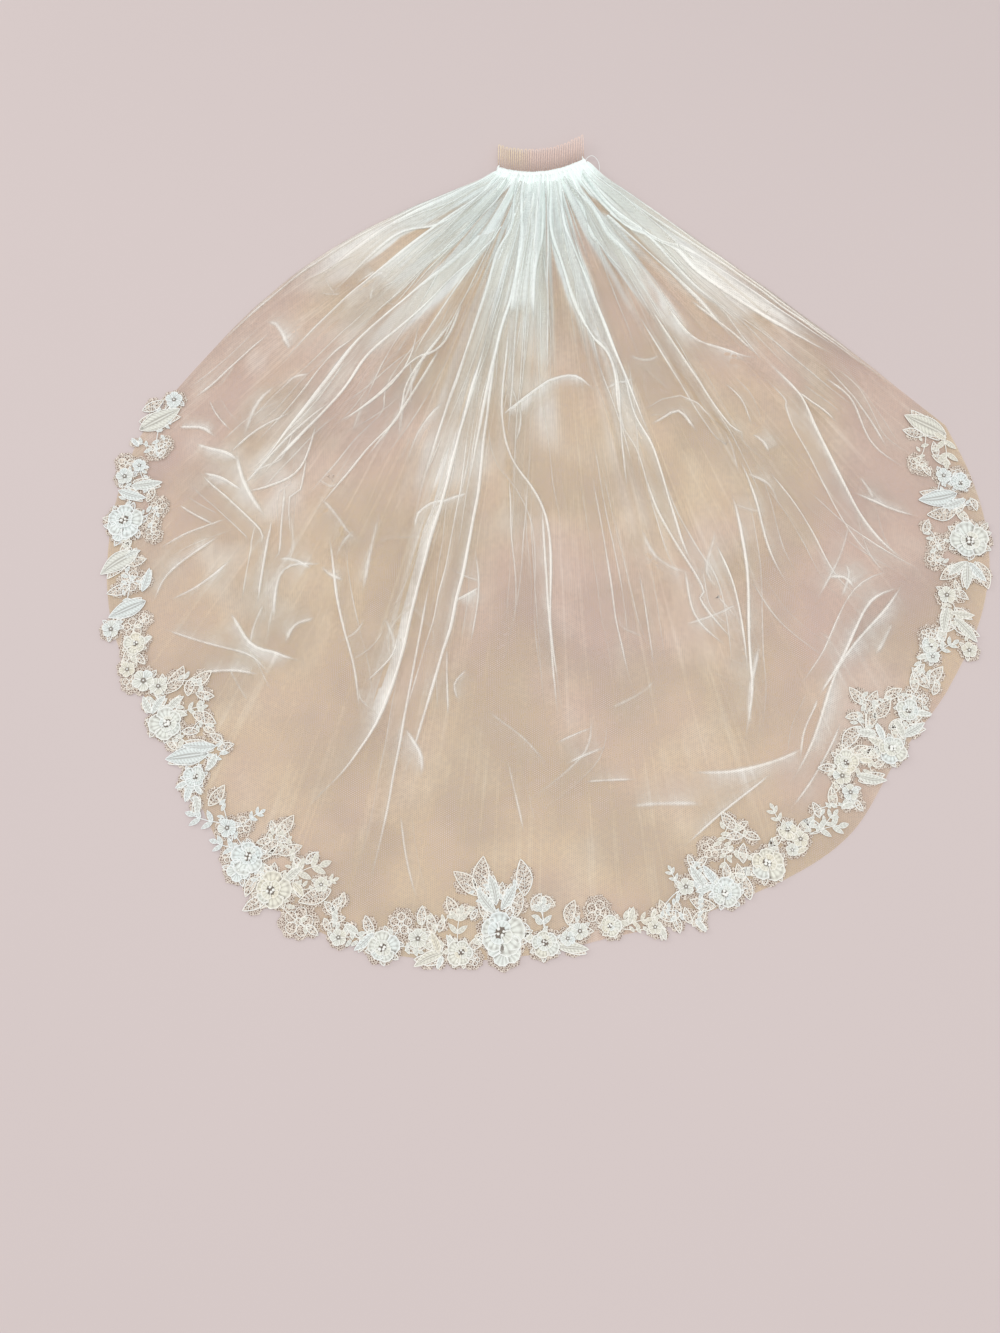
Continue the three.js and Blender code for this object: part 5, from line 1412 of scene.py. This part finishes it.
def ring_cord(heap, x, y, z, radius, cord):
    turn = full_circle(12)
    ring = points_at(x + radius * np.cos(turn), y + radius * np.sin(turn), z)
    round_cord(heap, ring, cord, CORD, closed=True, sides=5)


# %% [markdown]
# In a corded flower a smaller set of petals lies on the larger one. The eye is a little off the
# middle, with pearls on a ground painted dark as shade, and behind the flower the tips of openwork
# leaves show. Small blossoms are one set of petals, and openwork ones are five loops of cord round a
# ring. A seeded dice varies the direction and reach of each petal, so that no two flowers are the same.

# %% Flowers and blossoms
WITH_TOP_PETALS, WITH_BIG_PEARLS = 9.5, 13


def corded_flower(heap, x, y, radius, turn, dice):
    base = heap.warm
    disc(heap, x, y, LACE_LOW - 0.1, 1.16 * radius, WEB, uneven=0.12, count=36)
    for leaf in range(6):
        way = turn + 60 * leaf + dice.uniform(-12, 12)
        tip = turned(x, y, way, 0.98 * radius, 0)
        lean = way + dice.uniform(-35, 35)
        openwork_leaf(heap, *tip, lean, 0.62 * radius, 0.34 * radius, low=LACE_LOW - 0.2)
    way = math.radians(dice.uniform(0, 360))
    shift = 0.16 * radius
    eye = x + shift * math.cos(way), y + shift * math.sin(way)
    double = radius > WITH_TOP_PETALS
    for step in range(5):
        direction = turn + 72 * step + dice.uniform(-7, 7)
        off = math.radians(direction) - way
        reach = math.sqrt(radius**2 - (shift * math.sin(off)) ** 2) - shift * math.cos(off)
        reach = reach * dice.uniform(0.94, 1.04)
        heap.warm = base + dice.normal(0, 0.22)
        petal(heap, *eye, direction, reach, 41, LACE_LOW, 0.9)
    for step in range(4 if double else 0):
        heap.warm = base + dice.normal(0, 0.16)
        direction = turn + 40 + 90 * step + dice.uniform(-10, 10)
        reach = radius * dice.uniform(0.46, 0.60)
        petal(heap, *eye, direction, reach, 48, LACE_LOW + 0.95, 0.8, rings=6, steps=10)
    heap.warm = base
    top = LACE_LOW + (2.3 if double else 1.5)
    # The eye's ground takes full painted shade.
    disc(heap, *eye, top, 0.26 * radius, SATIN, groove=1.0, uneven=0.25)
    count, bead = (4, 1.75) if radius > WITH_BIG_PEARLS else (3, 1.15)
    for step in range(count):
        place = turned(*eye, turn + 97 * step, dice.uniform(0.10, 0.20) * radius, 0)
        pearl(heap, *place, top + 0.9, bead * dice.uniform(0.8, 1.1))


def small_blossom(heap, x, y, radius, turn, dice):
    base = heap.warm
    for step in range(5):
        heap.warm = base + dice.normal(0, 0.12)
        petal(heap, x, y, turn + 90 + 72 * step, radius, 37, LACE_LOW, 0.7, rings=5, steps=8)
    heap.warm = base
    # The blossom's eye is painted almost fully shaded.
    disc(heap, x, y, LACE_LOW + 1.1, 0.28 * radius, SATIN, groove=0.9, count=12)
    pearl(heap, x, y, LACE_LOW + 1.5, 1.0)
    for step in range(3):
        way = turn + 120 * step + dice.uniform(-30, 30)
        if math.cos(math.radians(way) - math.atan2(y, x)) > 0.5:
            continue
        tip = turned(x, y, way, 1.05 * radius, 0)
        openwork_leaf(heap, *tip, way + dice.uniform(-30, 30), radius, 0.5 * radius, low=LACE_LOW - 0.2)


def openwork_blossom(heap, x, y, radius, turn):
    for step in range(5):
        loop = turned(x, y, turn + 72 * step, 0.60 * radius, 0)
        disc(heap, *loop, LACE_LOW + 0.2, 0.38 * radius, WEB, count=12)
        ring_cord(heap, *loop, LACE_LOW + 0.45, 0.38 * radius, 0.8 * CORD_RADIUS)
    disc(heap, x, y, LACE_LOW + 0.2, 0.42 * radius, WEB, count=12)
    ring_cord(heap, x, y, LACE_LOW + 0.75, 0.22 * radius, 0.5)


# %% [markdown]
# A sprig is a thin curved stem with paired leaflets and one at its tip. Where an item of a motif
# lies clear of the others, a stem of cord with a few leaflets joins it to the nearest one, as in
# real embroidery, which has to hold together when it is cut out. The stems could be rows of the
# lace table, but they follow from it, so the script finds them.

# %% Sprigs and stems
LEAF_WIDTH = 0.36
LEAFLET_SHARE, LEAFLET_LEAN = 0.36, 48
STEM_RADIUS, LEAFLET_CORD = 0.5, 0.35


def sprig(heap, x, y, direction, length):
    share = np.linspace(0, 0.86, 8)
    stem = turned(x, y, direction, share * length, 0.05 * length * np.sin(np.pi * share))
    round_cord(heap, points_at(*stem, LACE_LOW + 0.5), STEM_RADIUS, CORD, sides=5)
    leaflet = length * LEAFLET_SHARE
    for pair in range(2):
        along = length * (0.3 + 0.34 * pair)
        for hand in (-1, 1):
            lean = direction + hand * LEAFLET_LEAN
            root = turned(x, y, direction, along, 0.05 * length)
            middle = turned(*root, lean, 0.46 * leaflet, 0)
            satin_leaf(heap, *middle, lean, leaflet, 0.37 * leaflet, cord=LEAFLET_CORD)
    tip = turned(x, y, direction, length * 0.94, 0)
    satin_leaf(heap, *tip, direction, leaflet * 0.8, 0.4 * leaflet, cord=LEAFLET_CORD)


def stems(heap, items, dice):
    """Joins each item that lies clear of the earlier ones to the nearest of them."""
    for index in range(1, len(items)):
        x, y, radius = items[index]
        nearest = min(items[:index], key=lambda item: math.hypot(item[0] - x, item[1] - y))
        run_x, run_y = nearest[0] - x, nearest[1] - y
        run = math.hypot(run_x, run_y)
        if run <= 0.75 * (nearest[2] + radius):
            continue
        share = np.linspace(0, 1, 7)
        sway = 0.08 * np.sin(np.pi * share)
        line = points_at(x + run_x * share - run_y * sway, y + run_y * share + run_x * sway, LACE_LOW + 0.45)
        round_cord(heap, line, STEM_RADIUS, CORD, sides=5)
        direction = math.degrees(math.atan2(run_y, run_x))
        for number in range(int(run / 8)):
            lean = direction + 180 + either_way(dice, 35, 65)
            size = dice.uniform(6.5, 9.5)
            foot = min(1.0, (radius + 5.0 + 6.5 * number) / run)
            middle = turned(x + run_x * foot, y + run_y * foot, lean, 0.5 * size, 0)
            satin_leaf(heap, *middle, lean, size, 0.42 * size, cord=LEAFLET_CORD)


# %% [markdown]
# Round the hem, one motif runs on into the next. The real ones overlap or nearly touch, so where two
# middles lie close enough, a pair of openwork leaves with two leaflets fills the gap between them.
# They belong to the first of the two, so that each motif stays one piece.

# %% Bridges
LONGEST_BRIDGE = 78
# Each row is a share of the way, a lean and a size.
BRIDGE_LEAVES = [(0.42, 28, 22), (0.60, -24, 19)]


def bridge(heap, start, end, dice):
    run = math.dist(start, end)
    if run > LONGEST_BRIDGE:
        return
    direction = math.degrees(math.atan2(end[1] - start[1], end[0] - start[0]))
    for share, lean, size in BRIDGE_LEAVES:
        heap.warm = 0.6 + dice.normal(0, 0.15)
        foot = turned(*start, direction, share * run, dice.uniform(1, 6))
        way = direction + lean + dice.uniform(-12, 12)
        openwork_leaf(heap, *foot, way, size, 0.42 * size, low=LACE_LOW - 0.25)
        satin_leaf(heap, *foot, direction - 2 * lean, 0.45 * size, 0.19 * size, cord=LEAFLET_CORD)


# %% [markdown]
# Now each row of the lace table becomes a piece. A real motif is sewn on net of its own, so ragged
# discs of web come first, their holes painted dark with shade, and the rest is laid on them from the
# lowest to the highest: stems, openwork, sprigs, satin leaves, blossoms and at last the flower. One
# motif could be copied round the hem, but real ones are cut apart and set in differently, so all
# twenty-five are made one by one.

# %% Lace motifs
NET_LEAF_WIDTH, NET_LEAF_WARMTH, LEAF_GROUND_WARMTH = 1.2, 0.62, 0.5
WIDE_LEAF, NARROW_LEAF = 39, 22
GROUND_MARGIN, FIRST_SEED = 4.0, 100


def lace_items(motif):
    """Each item of a motif as x, y and radius, the flower first."""
    mx, my = motif["x"], motif["y"]
    items = [(mx, my, motif["flower"])] if motif["flower"] else []
    items += [(mx + x, my + y, radius) for x, y, radius in motif["blooms"] + motif["net_blooms"]]
    items += [(mx + x, my + y, length * LEAF_WIDTH / 2) for x, y, _, length in motif["leaves"]]
    items += [(mx + x, my + y, length * LEAF_WIDTH * 0.6) for x, y, _, length in motif["nets"]]
    return items + [(mx + x, my + y, 0) for x, y, _, _ in motif["sprigs"]]


def padded_leaf(heap, x, y, direction, length, warm, dice):
    """A satin leaf with an openwork one behind it, turned a little to one side."""
    heap.warm = LEAF_GROUND_WARMTH
    way = direction + either_way(dice, 14, 30)
    openwork_leaf(heap, x, y, way, 0.92 * length, length * LEAF_WIDTH, low=LACE_LOW - 0.1)
    heap.warm = warm + dice.normal(0, 0.2)
    width = length * LEAF_WIDTH * (1.2 if length > WIDE_LEAF else 0.88 if length > NARROW_LEAF else 1.0)
    bend = dice.uniform(-0.07, 0.07)
    satin_leaf(heap, x, y, direction, length, width, low=LACE_LOW + 0.2, bend=bend)


def lace_motif(number, motif):
    heap = Heap()
    mx, my, turn = motif["x"], motif["y"], motif["turn"]
    dice = np.random.default_rng(FIRST_SEED + number)
    warm = WARMTH[motif["tone"]]
    heap.warm = warm
    items = lace_items(motif)
    for x, y, radius in items:
        disc(heap, x, y, LACE_LOW - 0.35, radius + GROUND_MARGIN, WEB, uneven=0.16, count=24)
    stems(heap, items, dice)
    for x, y, direction, length in motif["nets"]:
        heap.warm = NET_LEAF_WARMTH + dice.normal(0, 0.15)
        width, bend = length * LEAF_WIDTH * NET_LEAF_WIDTH, dice.uniform(-0.08, 0.08)
        openwork_leaf(heap, mx + x, my + y, direction, length, width, bend=bend)
    for x, y, radius in motif["net_blooms"]:
        openwork_blossom(heap, mx + x, my + y, radius, turn)
    for x, y, direction, length in motif["sprigs"]:
        heap.warm = warm + dice.normal(0, 0.15)
        sprig(heap, mx + x, my + y, direction, length)
    for x, y, direction, length in motif["leaves"]:
        padded_leaf(heap, mx + x, my + y, direction, length, warm, dice)
    for x, y, radius in motif["blooms"]:
        heap.warm = warm + dice.normal(0, 0.15)
        small_blossom(heap, mx + x, my + y, radius, turn, dice)
    if number < len(MOTIFS):
        bridge(heap, (mx, my), (MOTIFS[number]["x"], MOTIFS[number]["y"]), dice)
    heap.warm = warm
    if motif["flower"]:
        corded_flower(heap, mx, my, motif["flower"], turn, dice)
    name = f"{number:02d}"
    piece = heap.piece(f"lace_{name}", LACE_FINISHES[motif["tone"]])
    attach(piece, "root")
    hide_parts(f"lace_motif_{name}")
    return piece


lace = [lace_motif(index + 1, motif) for index, motif in enumerate(MOTIFS)]
print("lace:", sum(sum(len(f.vertices) - 2 for f in piece.data.polygons) for piece in lace), "triangles")

# %% [markdown]
# The comb's wire has a rose tint, and it catches the light. A metal shader alone would show only the
# plain pale room in it, so most of the colour is in the wire itself, and a golden glint is painted on
# the tips at one side. Near the spine, where the loops stand in the shade of the band, painted shade
# makes it darker. Glint and shade are stored on the mesh, like the painted shade of the lace.

# %% Comb finish
# The yellow gold is a painted glint, and WIRE_SHADE is painted shade near the spine.
ROSE, ROSE_GOLD, GLINT_GOLD = (1.0, 0.73, 0.61), (1.0, 0.82, 0.72), (1.0, 0.92, 0.56)
WIRE_SHADE = (0.50, 0.35, 0.27)


def wire_finish():
    finish = Finish("rose_wire")
    share = finish.noise(420.0)
    gold_and_glint = finish.colour_between(finish.note("warmth"), ROSE_GOLD, GLINT_GOLD)
    metal = finish.colour_between(share, ROSE, gold_and_glint)
    shade = finish.spread(finish.note("groove"), 0.3, 1.0, 0.0, 0.9)
    finish.skin_has(Base_Color=finish.colour_between(shade, metal, WIRE_SHADE), Metallic=0.18)
    finish.skin_has(Roughness=finish.spread(share, 0.3, 0.7, 0.14, 0.32))
    return finish.material


# %% [markdown]
# The comb is made of wire of one colour. A stout spine carries the hairpin loops, and finer wire
# is wound round the spine between them. The loops arch a little and come down at their tips. One
# loop could be copied along the spine, but each of the real ones leans a little, so they are made
# in turn, as round cords of wire.

# %% Comb
TOOTH_COUNT, TOOTH_REACH, TOOTH_LOOP = 24, 36.0, 2.3
OUTER_TOOTH, BOW_STEPS, LEG_STEPS = 0.965, 9, 9
WIRE_RADIUS, SPINE_RADIUS, SPINE_HEIGHT = 0.42, 0.9, 4.6
SPINE_INSET, TOOTH_ARCH = 1.9, 2.6
TIP_HEIGHT, TIP_LIFT, LIFT_FROM = 4.0, 4.0, 0.1
WOUND_TURNS, WOUND_RADIUS = 150, 0.2
COMB_SEED = 21
SPINE_OUT = BAND_DEPTH / 2 - SPINE_INSET
SPINE_LINE = (math.cos(COMB_TURN), math.sin(COMB_TURN), 0)
WIRE_SIDES = 8


def tooth_height(along, out):
    share = out / TOOTH_REACH
    tip = TIP_HEIGHT + TIP_LIFT * smooth_step(LIFT_FROM, 1, along)
    return SPINE_HEIGHT + TOOTH_ARCH * np.sin(np.pi * share) + (tip - SPINE_HEIGHT) * share**2


def hairpin():
    """A loop lying straight: how far aside its wire lies, from -1 to 1, and how far out."""
    bow = np.linspace(np.pi, 0, BOW_STEPS)
    leg = np.linspace(0, TOOTH_REACH - TOOTH_LOOP, LEG_STEPS + 1)[:-1]
    aside = np.concatenate([np.full(LEG_STEPS, -1.0), np.cos(bow), np.full(LEG_STEPS, 1.0)])
    return aside, np.concatenate([leg, TOOTH_REACH - TOOTH_LOOP + TOOTH_LOOP * np.sin(bow), leg[::-1]])


def hair_comb():
    heap = Heap()
    dice = np.random.default_rng(COMB_SEED)
    spine = points_at(*beside_spine(np.linspace(-0.99, 0.99, 60), SPINE_OUT), SPINE_HEIGHT)
    round_cord(heap, spine, SPINE_RADIUS, 0, sides=10)
    aside, straight = hairpin()
    for tooth in range(TOOTH_COUNT):
        middle = -OUTER_TOOTH + 2 * OUTER_TOOTH * tooth / (TOOTH_COUNT - 1)
        px, py = beside_spine(middle + aside * (TOOTH_LOOP / COMB_WIDTH), SPINE_OUT)
        swing, longer = dice.normal(0, 0.25), dice.normal(0, 0.5)
        out = straight * (1 + longer / TOOTH_REACH)
        px = px + swing * (out / TOOTH_REACH) ** 2
        # The share of painted golden glint, on the loops at the left.
        heap.warm = 1 - smooth_step(-0.55, -0.15, middle)
        loop = points_at(px, py + out, tooth_height(middle, out))
        round_cord(heap, loop, WIRE_RADIUS, 0, sides=WIRE_SIDES)
        # Painted shade, darkest near the spine.
        heap.groove[-1] = np.repeat(1 - out / TOOTH_REACH, WIRE_SIDES)
    angle = np.linspace(0, 2 * np.pi * WOUND_TURNS, WOUND_TURNS * 9)
    round_spine = SPINE_RADIUS + WOUND_RADIUS
    px, py = beside_spine(np.linspace(-0.985, 0.985, len(angle)), SPINE_OUT + round_spine * np.cos(angle))
    wound = points_at(px, py, SPINE_HEIGHT + round_spine * np.sin(angle))
    round_cord(heap, wound, WOUND_RADIUS, 0, sides=4, across_to=SPINE_LINE)
    return heap.piece("wire_comb", [wire_finish()])


comb = hair_comb()
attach(comb, "root")
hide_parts("hair_comb")
print("comb:", len(comb.data.polygons) * 2, "triangles")

# %% [markdown]
# The gathers are bound to the spine by a narrow strip and whip stitches. The strip is a soft roll
# that swells and sinks with the pleats, and the thread goes round and round it. It ends in knots,
# and at the right a loop of it hangs free. The stitches could be a bump in the finish, but they
# show against the floor at both edges of the band, so they are real turns of thread.

# %% Sewn band
BAND_HEIGHT, BAND_OVERHANG = 8.6, 1.03
BAND_TONES = (0.88, 0.95, 0.91), (0.99, 1.0, 0.99)
BAND_STEPS_ALONG, BAND_STEPS_ROUND = 260, 20
WHIP_TURNS, WHIP_RADIUS, KNOT_RADIUS, TAIL_RADIUS = 54, 0.42, 0.5, 0.32
# The knots at each end of the band, and how far they spread across it.
KNOT_ENDS = [(-1.0, 1.6), (1.0, 2.6)]


def band_finish():
    finish = Finish("band_thread")
    share = finish.noise(700.0)
    finish.raise_by(share, distance=0.0004, strength=0.4)
    finish.skin_has(Base_Color=finish.colour_between(share, *BAND_TONES), Roughness=0.7, Sheen_Weight=0.2)
    return finish.material


def soft_roll(heap):
    """The strip over the gathers, closed round the spine and thinner at both ends."""
    along = np.linspace(-BAND_OVERHANG, BAND_OVERHANG, BAND_STEPS_ALONG)[:, None]
    angle = full_circle(BAND_STEPS_ROUND)[None, :]
    taper = np.clip((BAND_OVERHANG - np.abs(along)) / 0.05, 0, 1) ** 0.5 * 0.9 + 0.1
    pleat = 0.35 * np.cos(2 * np.pi * 31 * along + 2.2 * np.sin(7 * along))
    pleat = pleat + 0.2 * np.cos(2 * np.pi * 17 * along + 1)
    out = taper * (BAND_DEPTH / 2 - 0.5 + pleat * 0.7) * np.cos(angle)
    rise = BAND_HEIGHT / 2 + taper * (BAND_HEIGHT / 2 - 0.7 + pleat * 0.6) * np.sin(angle)
    points = points_at(*beside_spine(along + 0 * angle, out), rise)
    heap.add(points, grid_faces(BAND_STEPS_ALONG, BAND_STEPS_ROUND, round_trip=True), 0)


def whip_stitches(heap):
    wind = np.linspace(0, 2 * np.pi * WHIP_TURNS, WHIP_TURNS * 16)
    wound = np.linspace(-1.0, 1.0, len(wind)) + 0.004 * np.sin(wind)
    px, py = beside_spine(wound, (BAND_DEPTH / 2 + 0.5) * np.cos(wind))
    pz = BAND_HEIGHT / 2 + 0.75 + (BAND_HEIGHT / 2 + 0.25) * np.sin(wind)
    round_cord(heap, points_at(px, py, pz), WHIP_RADIUS, 0, sides=6, across_to=SPINE_LINE)


def knots_and_tail(heap):
    for end, reach in KNOT_ENDS:
        for knot in range(5):
            turn = full_circle(14) + knot
            kx, ky = beside_spine(end + 0.012 * np.cos(turn + knot), 1.5 + reach * np.sin(turn) + 0.7 * knot)
            loop = points_at(kx, ky, BAND_HEIGHT - 1.2 + 1.1 * np.cos(2 * turn + knot))
            round_cord(heap, loop, KNOT_RADIUS, 0, closed=True, sides=6, across_to=(0.2, 0.3, 1))
    tail = np.linspace(0, 1, 40)
    tail_out = 1.0 - 30.0 * tail**2 + 4.0 * np.sin(2 * np.pi * tail)
    tail_line = beside_spine(1.02 + 0.22 * np.sin(np.pi * tail * 1.15), tail_out)
    round_cord(heap, points_at(*tail_line, 7.6 - 4.2 * tail), TAIL_RADIUS, 0, sides=5)


def sewn_band():
    heap = Heap()
    soft_roll(heap)
    whip_stitches(heap)
    knots_and_tail(heap)
    return heap.piece("stitched_band", [band_finish()])


band = sewn_band()
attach(band, "root")
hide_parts("sewn_band")
print("band:", len(band.data.polygons) * 2, "triangles")
